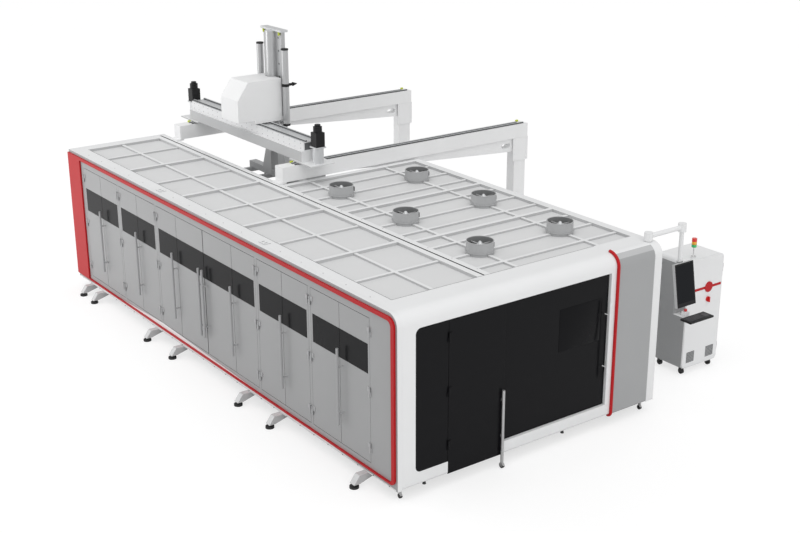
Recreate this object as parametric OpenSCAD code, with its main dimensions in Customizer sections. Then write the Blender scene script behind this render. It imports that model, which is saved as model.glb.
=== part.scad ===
// Enclosed sheet cutting machine with a truss loader, operator panel and power cabinet.
// Millimetres. X runs along the front, Y along the door side towards the rear, Z is up.

/* [Enclosure] */
// Length of the enclosure along its door side
body_len = 8520; // [8200:10:9000]
// Width of the enclosure across its front
body_w = 3930; // [3850:10:4100]
// Height of the roof above the floor
body_h = 2200; // [2150:10:2400]
// Height of the enclosure's underside above the floor
base_z = 150; // [140:1:180]
// Width of the strip that runs the whole length of the door side
strip_w = 1600; // [1500:10:1650]
// Length of the cutting cabin
cabin_len = 4880; // [4800:10:4950]
// Thickness of the enclosure's walls
wall_t = 60; // [50:1:70]
// Radius of the folded edge along the top of the front
edge_r = 150; // [120:1:160]

/* [Side doors] */
// Height of the door bays' lower edge
door_z0 = 295; // [280:1:320]
// Height of the wall above the door bays
door_head = 180; // [160:1:220]
// Distance from the front to the first door bay
bay_front = 500; // [450:5:560]
// Distance from the last door bay to the rear end
bay_rear = 520; // [500:5:600]
// Width of the wide middle bay, from post centre to post centre
wide_bay = 2700; // [2600:10:2800]
// Width of the posts between bays
post_w = 50; // [48:1:60]
// Width of the folding inner leaves of the wide bay
fold_leaf = 750; // [720:5:770]
// Thickness of a door leaf
leaf_t = 32; // [28:1:36]
// Gap around a door leaf
leaf_gap = 5; // [4:0.5:6]
// Gap between the two folding leaves of the wide bay
fold_gap = 14; // [12:0.5:18]
// Distance from the bays' upper edge down to the dark panes
pane_head = 310; // [260:5:340]
// Height of the dark panes
pane_h = 350; // [320:5:400]
// Length of the tube handles
handle_len = 940; // [850:10:1000]
// Radius of the tube handles
handle_r = 16; // [13:0.5:18]
// Distance from the leaf to the handle's axis
handle_out = 65; // [55:1:70]

/* [Front] */
// Left edge of the dark front
front_x0 = 240; // [220:5:330]
// Width of the white post between the dark front and the grey corner panel
front_post = 110; // [80:5:200]
// Height of the fascia above the dark front
front_head = 200; // [190:5:240]
// Radius of the dark front's left corners
front_r = 70; // [50:5:90]
// Height of the sill under the fixed and sliding panes
front_sill = 310; // [290:5:330]
// Left edge of the swing door
swing_x0 = 685; // [660:5:740]
// Width of the swing door
swing_w = 795; // [740:5:820]
// Thickness of the front panes
glass_t = 26; // [22:1:28]
// Width of the white band at the right of the grey corner panel
band_w = 130; // [110:5:160]
// Width of the grey corner panel
corner_w = 600; // [560:5:620]
// Radius of the red corner tube
tube_r = 14; // [10:0.5:18]

/* [Roof] */
// Depth of the roof recesses
recess_d = 36; // [30:1:46]
// Thickness of the roof sheets
sheet_t = 20; // [15:1:25]
// Height of the thin roof bars
thin_h = 24; // [18:1:28]
// Width of the thin roof bars
bar_w = 46; // [40:1:52]
// Width of the thick roof bars
thick_w = 60; // [54:1:70]
// Outer radius of a fan duct
duct_r = 165; // [150:1:180]
// Height of a fan duct above the roof bars
duct_h = 134; // [124:1:164]

/* [Loader] */
// Length of the rail beams
rail_len = 4482; // [4400:2:4650]
// Width of a rail beam
rail_w = 200; // [180:2:220]
// Height of a rail beam
rail_h = 210; // [190:2:230]
// Distance from the rear end to the far rail beam
far_inset = 370; // [350:5:400]
// Width of a loader leg
leg_w = 230; // [210:2:240]
// Place of the bridge's left side from the rails' left end
bridge_in = 297; // [260:1:330]
// Length of the lifting column
column_len = 1600; // [1540:10:1660]
// Distance of the carriage's front side from the near rail
carriage_in = 1220; // [1180:5:1260]

/* [Operator panel] */
// Reach of the swivel arm
arm_reach = 590; // [560:5:620]
// Width of the monitor
screen_w = 330; // [310:2:350]
// Height of the monitor
screen_h = 550; // [520:2:580]
// Backward lean of the monitor in degrees
screen_lean = 10; // [8:0.5:12]

/* [Power cabinet] */
// Distance from the enclosure to the cabinet
cabinet_gap = 1050; // [1020:5:1100]
// Width of the cabinet
cabinet_w = 660; // [620:5:700]
// Depth of the cabinet
cabinet_d = 520; // [480:5:560]
// Height of the cabinet's top above the floor
cabinet_h = 1600; // [1550:5:1650]

/* [Cutting bed] */
// Height of the bed's top
bed_z = 760; // [740:2:780]
// Length of the exchange table
table_len = 3200; // [3100:10:3250]
// Number of slats on the exchange table
slat_count = 20; // [16:1:24]

/* [Hidden] */
$fn = 48;
// Gap of a sliding seat, and radial gap of a pin in its bore
seat = 0.3;
pin_gap = 0.08;
// Overrun of every cut
over = 1;

// Colours
white = "whitesmoke";
grey = "darkgray";
dark = "dimgray";
black = "black";
red = "red";
steel = "silver";

// Feet and outriggers
pad_r = 55;
pad_h = 25;
pad_out = 165;
stud_r = 15;
stud_in = 12;
bracket_w = 90;
bracket_drop = 50;
bracket_in = 150;
bracket_t = 25;
bracket_tip = 30;
bracket_run = 75;
outrigger_shares = [0.070, 0.284, 0.375, 0.589, 0.680, 0.894, 0.941];
right_outrigger_shares = [0.10, 0.45, 0.80];
caster_r = 30;
caster_w = 26;
caster_in = 50;
caster_plate = 70;
caster_plate_t = 8;

// Roof levels and borders
roof_low = body_h - recess_d;
sheet_z = roof_low - sheet_t;
left_border = 235;
front_border = 420;
rear_border = 220;
beam_w = 190;
right_border = 120;
cabin_rear_border = 95;
lip = 170;
strip_x0 = left_border;
strip_x1 = strip_w - beam_w;
strip_y1 = body_len - rear_border;
cabin_x0 = strip_w + seat;
cabin_x1 = body_w - right_border;
cabin_y1 = cabin_len - cabin_rear_border;
strip_bar_count = 9;
end_bar_share = 0.77;
first_bar_share = 0.88;
groove_w = 22;
groove_d = 12;
pocket_w = 84;
pocket_len = 130;
pocket_h = 6;
pocket_shares = [0.336, 0.660];
strip_mid_share = 0.475;
fan_x_shares = [0.186, 0.762];
fan_y_shares = [0.158, 0.495, 0.830];
fan_side = 430;
fan_xs = [for (s = fan_x_shares) strip_w + s * (cabin_x1 - strip_w)];
fan_ys = [for (s = fan_y_shares) front_border + s * (cabin_y1 - front_border)];
duct_t = 8;
flange_over = 14;
flange_t = 8;
hub_r = 46;
motor_r = 38;
motor_h = 46;
shaft_r = 9;
shaft_len = 40;
strut_w = 20;
strut_t = 10;
blade_count = 5;
blade_t = 5;
blade_tip_gap = 10;
blade_twist = 28;
blade_chord_share = 0.62;

// Levels of the door bays and their panes
door_z1 = body_h - door_head;
pane_z1 = door_z1 - pane_head;
pane_z0 = pane_z1 - pane_h;

// Edges of the front
corner_x0 = body_w - band_w - corner_w;
front_x1 = corner_x0 - front_post;
front_z1 = body_h - front_head;

// Door bays, from the front to the rear
narrow_bay = (body_len - bay_front - bay_rear - wide_bay) / 4;
post_1 = bay_front;
post_2 = post_1 + narrow_bay;
post_3 = post_2 + narrow_bay;
post_4 = post_3 + wide_bay;
post_5 = post_4 + narrow_bay;
post_6 = post_5 + narrow_bay;
half_post = post_w / 2;
bays = [
  [post_1, post_2 - half_post],
  [post_2 + half_post, post_3 - half_post],
  [post_3 + half_post, post_4 - half_post],
  [post_4 + half_post, post_5 - half_post],
  [post_5 + half_post, post_6]
];
function middle(bay) = (bay[0] + bay[1]) / 2;
wide_mid = middle(bays[2]);
// Each leaf: lower Y, upper Y, hinge side (-1 low, 1 high), handle side (0 none), folding
leaves = [
  [bays[0][0], middle(bays[0]), -1, 1, false],
  [middle(bays[0]), bays[0][1], 1, 0, false],
  [bays[1][0], middle(bays[1]), -1, 1, false],
  [middle(bays[1]), bays[1][1], 1, 0, false],
  [bays[2][0], wide_mid - fold_leaf, -1, 1, false],
  [wide_mid - fold_leaf, wide_mid, -1, 1, true],
  [wide_mid, wide_mid + fold_leaf, 1, -1, true],
  [wide_mid + fold_leaf, bays[2][1], 1, -1, false],
  [bays[3][0], middle(bays[3]), -1, 1, false],
  [middle(bays[3]), bays[3][1], 1, 0, false],
  [bays[4][0], middle(bays[4]), -1, 1, false],
  [middle(bays[4]), bays[4][1], 1, 0, false]
];
pane_pocket = 4;
pane_margin = 34;
handle_z0 = 560;
handle_in = 42;
standoff_r = 10;
standoff_shares = [0.15, 0.755];
hinge_out = 14;
hinge_r = 10;
hinge_pin_r = 5;
hinge_half = 55;
hinge_plate_w = 22;
hinge_plate_t = 9;
hinge_leaf_w = 44;
hinge_low = 185;
hinge_high = 160;
hinge_zs = [door_z0 + hinge_low, (door_z0 + door_z1) / 2, door_z1 - hinge_high];

// Red surround of the door side
trim_out = 25;
trim_up = 60;
trim_down = 40;
trim_z0 = base_z + trim_up;
trim_z1 = body_h - trim_down;
trim_top = 46;
trim_bottom = 20;
trim_edge = 30;
trim_front = 58;
trim_band = 430;
trim_r = edge_r - trim_down;
trim_low_r = 75;

// Front panes and doors
pane_y = 4;
slide_clear = 5;
slide_y = pane_y + glass_t + slide_clear;
slide_t = 22;
front_gap = 6;
slide_x0 = swing_x0 + swing_w + 2 * front_gap;
slide_track = 10;
front_hinge_shares = [0.12, 0.5, 0.88];
front_hinge_zs = [for (s = front_hinge_shares) front_sill + s * (front_z1 - front_sill)];
pull_up = 350;
pull_down = 340;
pull_z0 = front_sill + pull_up;
pull_len = front_z1 - pull_down - pull_z0;
pull_r = 14;
pull_out = 45;
pull_in = 35;
door_tube_r = 18;
door_tube_h = 905;
door_tube_out = 30;
door_tube_in = 30;
door_caster_r = 34;
door_caster_w = 28;
sill_low = base_z + slide_clear;
corner_proud = 6;
low_r = 40;
tube_flat = 1;

// Base frame and inner walls
beam_h = 100;
beam_t = 100;
floor_t = 10;
cross_shares = [0.20, 0.40];
rear_cross_shares = [0.72, 0.86];
deck_z = base_z + beam_h;
slot_top = 1150;
slot_margin = 20;

// Loader
rail_seat = 60;
rail_gap = 8;
rail_x0 = strip_w + rail_gap;
rail_x1 = rail_x0 + rail_len;
shim_h = 20;
rail_z0 = body_h + shim_h;
rail_z1 = rail_z0 + rail_h;
near_gap = 10;
near_y = cabin_len + near_gap;
far_y = body_len - far_inset - rail_w;
rails = [near_y, far_y];
haunch_start_share = 0.269;
haunch_h = 220;
haunch_in = 35;
hole_r = 35;
hole_len = 170;
hole_gap = 110;
leg_in = 20;
leg_x0 = rail_x1 - leg_in - leg_w;
joint_plate_w = 300;
joint_plate_h = 370;
joint_plate_t = 14;
joint_bolt_r = 7;
joint_bolt_h = 6;
joint_bolt_rows = 5;
joint_bolt_shares = [0.12, 0.88];
foot_plate = 320;
foot_plate_t = 20;
anchor_r = 9;
anchor_in = 40;
track_w = 24;
track_h = 22;
track_in = 30;
rack_w = 30;
rack_h = 16;
rack_in = 110;
buffer_r = 16;
buffer_len = 40;
buffer_in = 130;
end_plate_w = 400;
end_plate_over = 290;
end_plate_back = 70;
end_plate_t = 18;
plate_z0 = rail_z1 + track_h + seat;
plate_z1 = plate_z0 + end_plate_t;
bridge_x0 = rail_x0 + bridge_in;
bridge_w = 350;
stop_gap = 5;
stop_in = bridge_in + (bridge_w - end_plate_w) / 2 - buffer_len - stop_gap;
bridge_low_h = 150;
bridge_up_in = 45;
bridge_up_h = 130;
bridge_z1 = plate_z1 + bridge_low_h;
bridge_z2 = bridge_z1 + bridge_up_h;
bridge_over = 20;
bridge_y0 = near_y - bridge_over;
bridge_y1 = far_y + rail_w + bridge_over;
guide_w = 26;
guide_h = 20;
guide_in = 28;
gearbox_r = 78;
gearbox_h = 215;
drive_plate = 164;
drive_plate_t = 20;
drive_side = 140;
drive_h = 200;
drive_top_r = 62;
drive_top_h = 80;
drive_cap_h = 30;
drive_gap = 35;
carriage_y0 = near_y + carriage_in;
cover_d = 500;
cover_left = 275;
cover_right = 112;
cover_up = 50;
cover_x0 = bridge_x0 - cover_left;
cover_x1 = bridge_x0 + bridge_w + cover_right;
cover_z0 = bridge_z2 + guide_h + cover_up;
cover_h = 570;
cover_chamfer_x = 180;
cover_chamfer_z = 250;
cheek_t = 55;
cheek_low = 100;
block_len = 38;
block_h = 220;
column_w = 500;
column_in = 29;
column_t = 60;
column_x0 = cover_x1 + block_len;
column_y0 = carriage_y0 + column_in;
column_mid = column_y0 + column_w / 2;
column_down = 20;
column_z0 = plate_z1 - column_down;
bulge_r = 92;
bulge_ahead = 22;
bulge_clear = 12;
cap_t = 30;
cap_over = 30;
cap_side = 38;
cap_buffer_r = 20;
cylinder_r = 50;
cylinder_ahead = 12;
cylinder_ring = 5;
cylinder_len = 1110;
cylinder_gap = 50;
cylinder_low = 120;
cylinder_z0 = cover_z0 - cylinder_low;
clamp_h = 40;
fork_h = 516;
fork_knee = 200;
fork_t = 128;
fork_low_share = 1.6;
fork_hole_share = 0.42;
fork_arch_share = 0.55;
spine_len = 1560;
spine_w = 120;
spine_h = 100;
arm_len = 1320;
arm_w = 70;
arm_h = 60;
arm_count = 4;
arm_end = 50;
cup_shares = [0.04, 0.34, 0.66, 0.96];
cup_r = 50;
cup_neck_r = 26;
cup_h = 50;
stem_r = 12;
stem_h = 60;

// Operator panel
panel_in = 85;
panel_x = body_w - panel_in;
panel_y = 165;
foot_r = 42;
foot_h = 8;
pivot_r = 22;
pivot_h = 50;
knuckle_r = 52;
knuckle_h = 104;
arm_r = 30;
arm_z = body_h + foot_h + seat + knuckle_h / 2;
elbow_x = panel_x + arm_reach;
hang_r = 28;
hang_len = 385;
hang_pin_r = 18;
hang_pin_h = 60;
hang_z1 = arm_z - knuckle_h / 2 - seat;
hang_z0 = hang_z1 - hang_len;
screen_t = 45;
screen_ahead = 70;
screen_top_y = panel_y - screen_ahead;
screen_drop = 3;
screen_z1 = hang_z0 - screen_drop;
bracket_side = 90;
stalk_w = 70;
stalk_t = 40;
stalk_under = 150;
stalk_low = screen_z1 - screen_h - stalk_under;
tray_w = 420;
tray_d = 170;
tray_t = 22;
tray_gap = 20;
button_box = 70;
button_box_h = 60;
button_r = 20;
button_h = 22;
button_stem_r = 10;
button_travel = 8;
button_depth = 24;
button_z = stalk_low + tray_t + button_box_h;

// Power cabinet
cabinet_x0 = body_w + cabinet_gap;
cabinet_x1 = cabinet_x0 + cabinet_w;
cabinet_y0 = 470;
cabinet_y1 = cabinet_y0 + cabinet_d;
cabinet_z0 = 100;
cabinet_t = 20;
cabinet_r = 60;
cabinet_mid_share = 0.61;
cabinet_hinge_shares = [0.12, 0.86];
cabinet_seam = cabinet_y0 + cabinet_t + over / 2;
cabinet_hinge_zs = [for (s = cabinet_hinge_shares) cabinet_z0 + s * (cabinet_h - cabinet_z0)];
cabinet_caster_r = 40;
cabinet_caster_w = 30;
cabinet_caster_in = 70;
disc_r = 72;
disc_h = 8;
stripe_h = 34;
stripe_t = 4;
stripe_z_share = 0.72;
switch_z_share = 0.607;
switch_r = 36;
switch_h = 14;
switch_bar_w = 16;
switch_bar_h = 26;
switch_pin_r = 10;
vent_side = 150;
vent_low = 70;
vent_in = 70;
vent_d = 5;
lamp_r = 32;
lamp_h = 40;
lamp_count = 3;
lamp_stem_r = 9;
lamp_stem_h = 147;
lamp_base_r = 34;
lamp_base_h = 24;
lamp_in = 100;
lamp_right = 175;

// Cutting bed and exchange table
bed_left = 40;
bed_right = 150;
bed_rear = 170;
bed_x0 = strip_w + bed_left;
bed_x1 = body_w - bed_right;
bed_side = 180;
bed_y0 = 300;
bed_y1 = body_len - bed_rear;
tie_w = 120;
tie_h = 160;
tie_shares = [0.06, 0.28, 0.50, 0.60, 0.79, 0.97];
bed_leg = 140;
bed_leg_shares = [0.62, 0.80, 0.975];
way_w = 40;
way_h = 30;
way_in = 20;
roll_in = 120;
roll_w = 44;
roll_h = 30;
table_clear = 120;
table_y0 = cabin_len + table_clear;
table_side = 60;
table_side_h = 90;
table_z0 = bed_z + roll_h + seat;
slat_t = 6;
slat_h = 80;
tooth_h = 24;
tooth_count = 12;
gantry_y0 = 600;
gantry_w = 260;
gantry_z0 = 1150;
gantry_h = 230;
gantry_foot_w = 60;
head_car_w = 260;
head_car_t = 90;
head_car_h = 330;
head_x_share = 0.30;
head_x = bed_x0 + head_x_share * (bed_x1 - bed_x0);
head_r = 45;
head_h = 380;
head_nozzle_r = 18;
head_tip_r = 6;
head_nozzle_h = 90;
head_seat_w = 60;
source_w = 700;
source_len = 1000;
source_h = 1100;
source_foot_r = 25;
source_foot_h = 30;
source_x0 = 420;
source_y0_share = 0.80;

// Origin at the middle of the outer box
far_x0 = -pad_out - pad_r;
far_x1 = leg_x0 + leg_w / 2 + foot_plate / 2;
far_y0 = screen_top_y - screen_h * sin(screen_lean) - tray_gap - tray_d;
centre_x = (far_x0 + far_x1) / 2;
centre_y = (far_y0 + body_len) / 2;

// Puts the origin in the middle of the machine's foot print
module placed() {
  translate([-centre_x, -centre_y, 0]) children();
}

// Box between two corners
module box(low, high) {
  translate(low) cube(high - low);
}

// Upright rod from a point
module rod_z(p, r, h) {
  translate(p) cylinder(r = r, h = h);
}

// Rod along X from a point
module rod_x(p, r, h) {
  translate(p) rotate([0, 90, 0]) cylinder(r = r, h = h);
}

// Rod along Y from a point
module rod_y(p, r, h) {
  translate(p) rotate([-90, 0, 0]) cylinder(r = r, h = h);
}

// Extrudes an outline drawn in Y and Z along X
module along_x(x0, length) {
  translate([x0, 0, 0]) rotate([90, 0, 90]) linear_extrude(length) children();
}

// Extrudes an outline drawn in X and Z along Y
module along_y(y0, length) {
  translate([0, y0 + length, 0]) rotate([90, 0, 0]) linear_extrude(length) children();
}

// Outline of a wall with its upper front corner rounded
module wall_outline(y0, y1, z0, z1, r_top, r_low) {
  translate([y0 + r_top, z0]) square([y1 - y0 - r_top, z1 - z0]);
  translate([y0, z0 + r_low]) square([r_top, z1 - z0 - r_low - r_top]);
  if (r_low > 0) translate([y0 + r_low, z0]) square([r_top - r_low, r_low]);
  intersection() {
    translate([y0 + r_top, z1 - r_top]) circle(r_top);
    translate([y0, z1 - r_top]) square([r_top, r_top]);
  }
  if (r_low > 0) intersection() {
    translate([y0 + r_low, z0 + r_low]) circle(r_low);
    translate([y0, z0]) square([r_low, r_low]);
  }
}

// Outline of the folded front sheet: upright, rounded edge and roof lip
module fold_outline(y0, y1, z0, z1, r, r_low) {
  difference() {
    wall_outline(y0, y1, z0, z1, r, r_low);
    translate([y0 + wall_t, z0 - over]) square([y1 - y0, z1 - z0 - r + over]);
    translate([y0 + r, z0 - over]) square([y1 - y0, z1 - z0 - wall_t + over]);
    translate([y0 + r, z1 - r]) circle(r - wall_t);
  }
}

// Fixed half of a hinge with its pin: dir points from the axis to the fixed side, out to the open side
module hinge_fixed(x_face, y_axis, z, dir, out) {
  x_axis = x_face + out * hinge_out;
  x_back = x_face + out * hinge_plate_t;
  box([min(x_face, x_back), min(y_axis, y_axis + dir * hinge_plate_w), z - hinge_half],
      [max(x_face, x_back), max(y_axis, y_axis + dir * hinge_plate_w), z - seat]);
  rod_z([x_axis, y_axis, z - hinge_half], hinge_r, hinge_half - seat);
  rod_z([x_axis, y_axis, z - hinge_half], hinge_pin_r, 2 * hinge_half - over);
}

// Moving half of a hinge, bored for the pin: dir points from the axis to the moving side
module hinge_moving(x_face, y_axis, z, dir, out, plate_w) {
  x_axis = x_face + out * hinge_out;
  x_back = x_face + out * hinge_plate_t;
  difference() {
    union() {
      box([min(x_face, x_back), min(y_axis, y_axis + dir * plate_w), z],
          [max(x_face, x_back), max(y_axis, y_axis + dir * plate_w), z + hinge_half]);
      rod_z([x_axis, y_axis, z], hinge_r, hinge_half);
    }
    rod_z([x_axis, y_axis, z - over], hinge_pin_r + pin_gap, hinge_half + 2 * over);
  }
}

// Hinge line of a leaf
function hinge_y(leaf) = leaf[2] < 0 ? leaf[0] : leaf[1];

// One door leaf of the long side with its pane pocket, handle and hinge halves
module leaf(index) {
  it = leaves[index];
  y0 = it[0] + (index == 6 ? fold_gap : leaf_gap) / 2;
  y1 = it[1] - (index == 5 ? fold_gap : leaf_gap) / 2;
  pane_y0 = it[2] < 0 && !it[4] ? y0 + pane_margin : y0 - over;
  pane_y1 = it[2] > 0 && !it[4] ? y1 - pane_margin : y1 + over;
  handle_y = it[3] > 0 ? y1 - handle_in : y0 + handle_in;
  face = it[4] ? leaf_t : 0;
  out = it[4] ? 1 : -1;
  difference() {
    box([0, y0, door_z0 + leaf_gap], [leaf_t, y1, door_z1 - leaf_gap]);
    box([-over, pane_y0, pane_z0], [pane_pocket, pane_y1, pane_z1]);
  }
  for (z = hinge_zs) hinge_moving(face, hinge_y(it), z, -it[2], out, hinge_leaf_w);
  if (carries_fold(index)) {
    for (z = hinge_zs) hinge_fixed(leaf_t, fold_axis(index), z, it[2], 1);
  }
  if (it[3] != 0) {
    rod_z([-handle_out, handle_y, handle_z0], handle_r, handle_len);
    for (s = standoff_shares) rod_x([-handle_out, handle_y, handle_z0 + s * handle_len], standoff_r, handle_out);
  }
}

// The outer leaves of the wide bay carry the folding ones
function carries_fold(index) = index == 4 || index == 7;
function fold_axis(index) = index == 4 ? leaves[4][1] : leaves[7][0];

// Welded floor frame of beams with the deck of the strip
module base_frame() color(dark) placed() {
  y1 = body_len - wall_t;
  box([wall_t, wall_t, base_z], [wall_t + beam_t, y1, deck_z]);
  box([strip_w - beam_t, wall_t, base_z], [strip_w, y1, deck_z]);
  box([body_w - wall_t - beam_t, wall_t, base_z], [body_w - wall_t, cabin_len - wall_t, deck_z]);
  box([wall_t, wall_t, base_z], [body_w - wall_t, wall_t + beam_t, deck_z]);
  box([wall_t, cabin_len - wall_t - beam_t, base_z], [body_w - wall_t, cabin_len - wall_t, deck_z]);
  box([wall_t, y1 - beam_t, base_z], [strip_w, y1, deck_z]);
  for (s = cross_shares) box([wall_t, s * body_len, base_z], [body_w - wall_t, s * body_len + beam_t, deck_z]);
  for (s = rear_cross_shares) box([wall_t, s * body_len, base_z], [strip_w, s * body_len + beam_t, deck_z]);
  box([wall_t, wall_t, deck_z - floor_t], [strip_w - beam_t, y1, deck_z]);
}

// Foot of one outrigger: side is -1 on the door side and 1 on the right
module outrigger(x_face, y, side) {
  tip = pad_out + bracket_tip;
  translate([x_face, y - bracket_w / 2, 0]) mirror([side > 0 ? 0 : 1, 0, 0]) difference() {
    along_y(0, bracket_w) polygon([
      [-bracket_in, base_z], [tip - bracket_run, base_z], [tip, bracket_drop],
      [pad_out - pad_r, bracket_drop], [-bracket_in, base_z - bracket_t]
    ]);
    rod_z([pad_out, bracket_w / 2, 0], stud_r + pin_gap, bracket_drop + stud_in + seat);
  }
}

// Brackets that reach out under both sides to the levelling pads
module outrigger_brackets() color(white) placed() {
  for (s = outrigger_shares) outrigger(0, s * body_len, -1);
  for (s = right_outrigger_shares) outrigger(body_w, s * cabin_len, 1);
}

// One levelling pad with its stud
module pad(x, y) {
  rod_z([x, y, 0], pad_r, pad_h);
  rod_z([x, y, 0], stud_r, bracket_drop + stud_in);
  rod_z([x, y, pad_h], 2 * stud_r, bracket_drop - pad_h);
}

// One small caster under the base frame
module caster(x, y) {
  box([x - caster_plate / 2, y - caster_plate / 2, base_z - caster_plate_t],
      [x + caster_plate / 2, y + caster_plate / 2, base_z]);
  box([x - caster_w / 2, y - caster_r / 2, caster_r], [x + caster_w / 2, y + caster_r / 2, base_z]);
  rod_x([x - caster_w / 2, y, caster_r], caster_r, caster_w);
}

// Levelling pads of the outriggers and the two front casters
module levelling_feet() color(black) placed() {
  for (s = outrigger_shares) pad(-pad_out, s * body_len);
  for (s = right_outrigger_shares) pad(body_w + pad_out, s * cabin_len);
  for (x = [wall_t + caster_in, body_w - wall_t - caster_in]) caster(x, wall_t + caster_in);
}

// Wall of the door side with its five bays and the fixed hinge halves
module side_wall() color(white) placed() {
  difference() {
    along_x(0, wall_t) wall_outline(0, body_len, base_z, body_h, edge_r, 0);
    for (bay = bays) box([-over, bay[0], door_z0], [wall_t + over, bay[1], door_z1]);
  }
  for (it = leaves) {
    if (!it[4]) for (z = hinge_zs) hinge_fixed(0, hinge_y(it), z, it[2], -1);
  }
}

// Red strip around the door side with the wide band at the rear end
module side_trim() color(red) placed() {
  along_x(-trim_out, trim_out) difference() {
    wall_outline(trim_edge, body_len, trim_z0, trim_z1, trim_r, trim_low_r);
    wall_outline(trim_edge + trim_front, body_len - trim_band, trim_z0 + trim_bottom, trim_z1 - trim_top,
                 trim_r - trim_top, trim_low_r - trim_bottom);
  }
}

// Rounded corner of the dark front's opening: dir points from the corner into the opening
module front_corner(z, dir) {
  middle_z = z + dir * front_r;
  difference() {
    box([front_x0, 0, min(z, middle_z)], [front_x0 + front_r, wall_t, max(z, middle_z)]);
    rod_y([front_x0 + front_r, -over, middle_z], front_r, wall_t + 2 * over);
  }
}

// Folded white front with the openings of the panes, the doorway and the sliding door's top track
module front_fascia() color(white) placed() {
  difference() {
    along_x(wall_t, corner_x0 - wall_t) fold_outline(0, front_border, base_z, body_h, edge_r, low_r);
    box([front_x0, -over, front_sill], [front_x1, wall_t + over, front_z1]);
    box([swing_x0, -over, base_z - over], [swing_x0 + swing_w + front_gap, wall_t + over, front_z1]);
  }
  front_corner(front_sill, 1);
  front_corner(front_z1, -1);
  box([front_x0, slide_y, front_z1 - slide_track], [front_x1, slide_y + slide_t, front_z1]);
}

// Grey panel that wraps the front's right end
module corner_panel() color(grey) placed() {
  along_x(corner_x0, corner_w) {
    fold_outline(-corner_proud, lip, base_z - corner_proud, body_h, edge_r, low_r);
  }
}

// Cross section of the corner tube with the flat that lies on the fascia
module tube_cut(bend) {
  difference() {
    translate([bend + tube_r - tube_flat, 0]) circle(tube_r);
    translate([0, -tube_r]) square([bend, 2 * tube_r]);
  }
}

// Red tube along the corner panel's left edge
module corner_tube() color(red) placed() {
  x = corner_x0 - tube_r - seat;
  z_top = body_h - edge_r;
  z_low = base_z + low_r;
  difference() {
    rod_z([x, tube_flat - tube_r, z_low], tube_r, z_top - z_low);
    box([x - tube_r, 0, z_low - over], [x + tube_r, tube_r, z_top + over]);
  }
  translate([x, edge_r, z_top]) rotate([0, -90, 180]) rotate_extrude(angle = 90) tube_cut(edge_r);
  translate([x, low_r, z_low]) rotate([0, 90, 180]) rotate_extrude(angle = 90) tube_cut(low_r);
}

// Bar on the roof sheets
module roof_bar(x0, y0, x1, y1, h) {
  box([x0, y0, roof_low], [x1, y1, roof_low + h]);
}

// Roof frames of the strip and of the cabin: borders, double beam, long bars and cross bars
module roof_frame() color(white) placed() {
  y1 = body_len - wall_t;
  cabin_end = cabin_len - wall_t;
  x1 = body_w - wall_t;
  pitch = (strip_y1 - front_border) / (strip_bar_count - 1 + first_bar_share + end_bar_share);
  mid_x = strip_x0 + strip_mid_share * (strip_x1 - strip_x0);
  difference() {
    union() {
      roof_bar(wall_t, front_border, strip_x0, y1, recess_d);
      roof_bar(strip_x1, front_border, strip_w, y1, recess_d);
      roof_bar(strip_x0, strip_y1, strip_x1, y1, recess_d);
      roof_bar(cabin_x1, front_border, x1, cabin_end, recess_d);
      roof_bar(cabin_x0, cabin_y1, cabin_x1, cabin_end, recess_d);
      roof_bar(corner_x0, lip, x1, front_border, recess_d);
      roof_bar(mid_x - bar_w / 2, front_border, mid_x + bar_w / 2, strip_y1, thin_h);
      for (i = [1 : strip_bar_count]) {
        thick = i % 2 == 0;
        w = thick ? thick_w : bar_w;
        y = front_border + (i - 1 + first_bar_share) * pitch;
        roof_bar(strip_x0, y - w / 2, strip_x1, y + w / 2, thick ? recess_d : thin_h);
      }
      for (x = fan_xs) roof_bar(x - bar_w / 2, front_border, x + bar_w / 2, cabin_y1, thin_h);
      for (y = fan_ys, d = [-fan_side, 0, fan_side]) {
        roof_bar(cabin_x0, y + d - bar_w / 2, cabin_x1, y + d + bar_w / 2, thin_h);
      }
      for (i = [0, 1]) {
        y = (fan_ys[i] + fan_ys[i + 1]) / 2;
        roof_bar(cabin_x0, y - thick_w / 2, cabin_x1, y + thick_w / 2, recess_d);
      }
      for (s = pocket_shares) translate([left_border / 2, s * body_len, body_h]) {
        box([-pocket_w / 2, -pocket_len / 2, 0], [pocket_w / 2, pocket_len / 2, pocket_h]);
      }
    }
    translate([strip_x1 + beam_w / 2 - groove_w / 2, front_border, body_h - groove_d]) {
      cube([groove_w, y1, groove_d + over]);
    }
    for (x = fan_xs, y = fan_ys) rod_z([x, y, roof_low - over], duct_r + seat, recess_d);
  }
}

// Flat sheets under the roof bars, open under the fans
module roof_sheets() color(white) placed() {
  difference() {
    union() {
      box([wall_t, wall_t, sheet_z], [strip_w, body_len - wall_t, roof_low]);
      box([strip_w - over, wall_t, sheet_z], [body_w - wall_t, cabin_len - wall_t, roof_low]);
    }
    for (x = fan_xs, y = fan_ys) rod_z([x, y, sheet_z - over], duct_r - duct_t, sheet_t + 2 * over);
    box([wall_t - over, wall_t - over, sheet_z - over],
        [body_w, front_border, roof_low + over]);
  }
}

// Right-hand wall with the white band of the front
module right_wall() {
  along_x(body_w - wall_t, wall_t) wall_outline(0, cabin_len, base_z, body_h, edge_r, 0);
  along_x(corner_x0 + corner_w, body_w - wall_t - corner_x0 - corner_w) {
    fold_outline(0, lip, base_z, body_h, edge_r, 0);
  }
}

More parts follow.
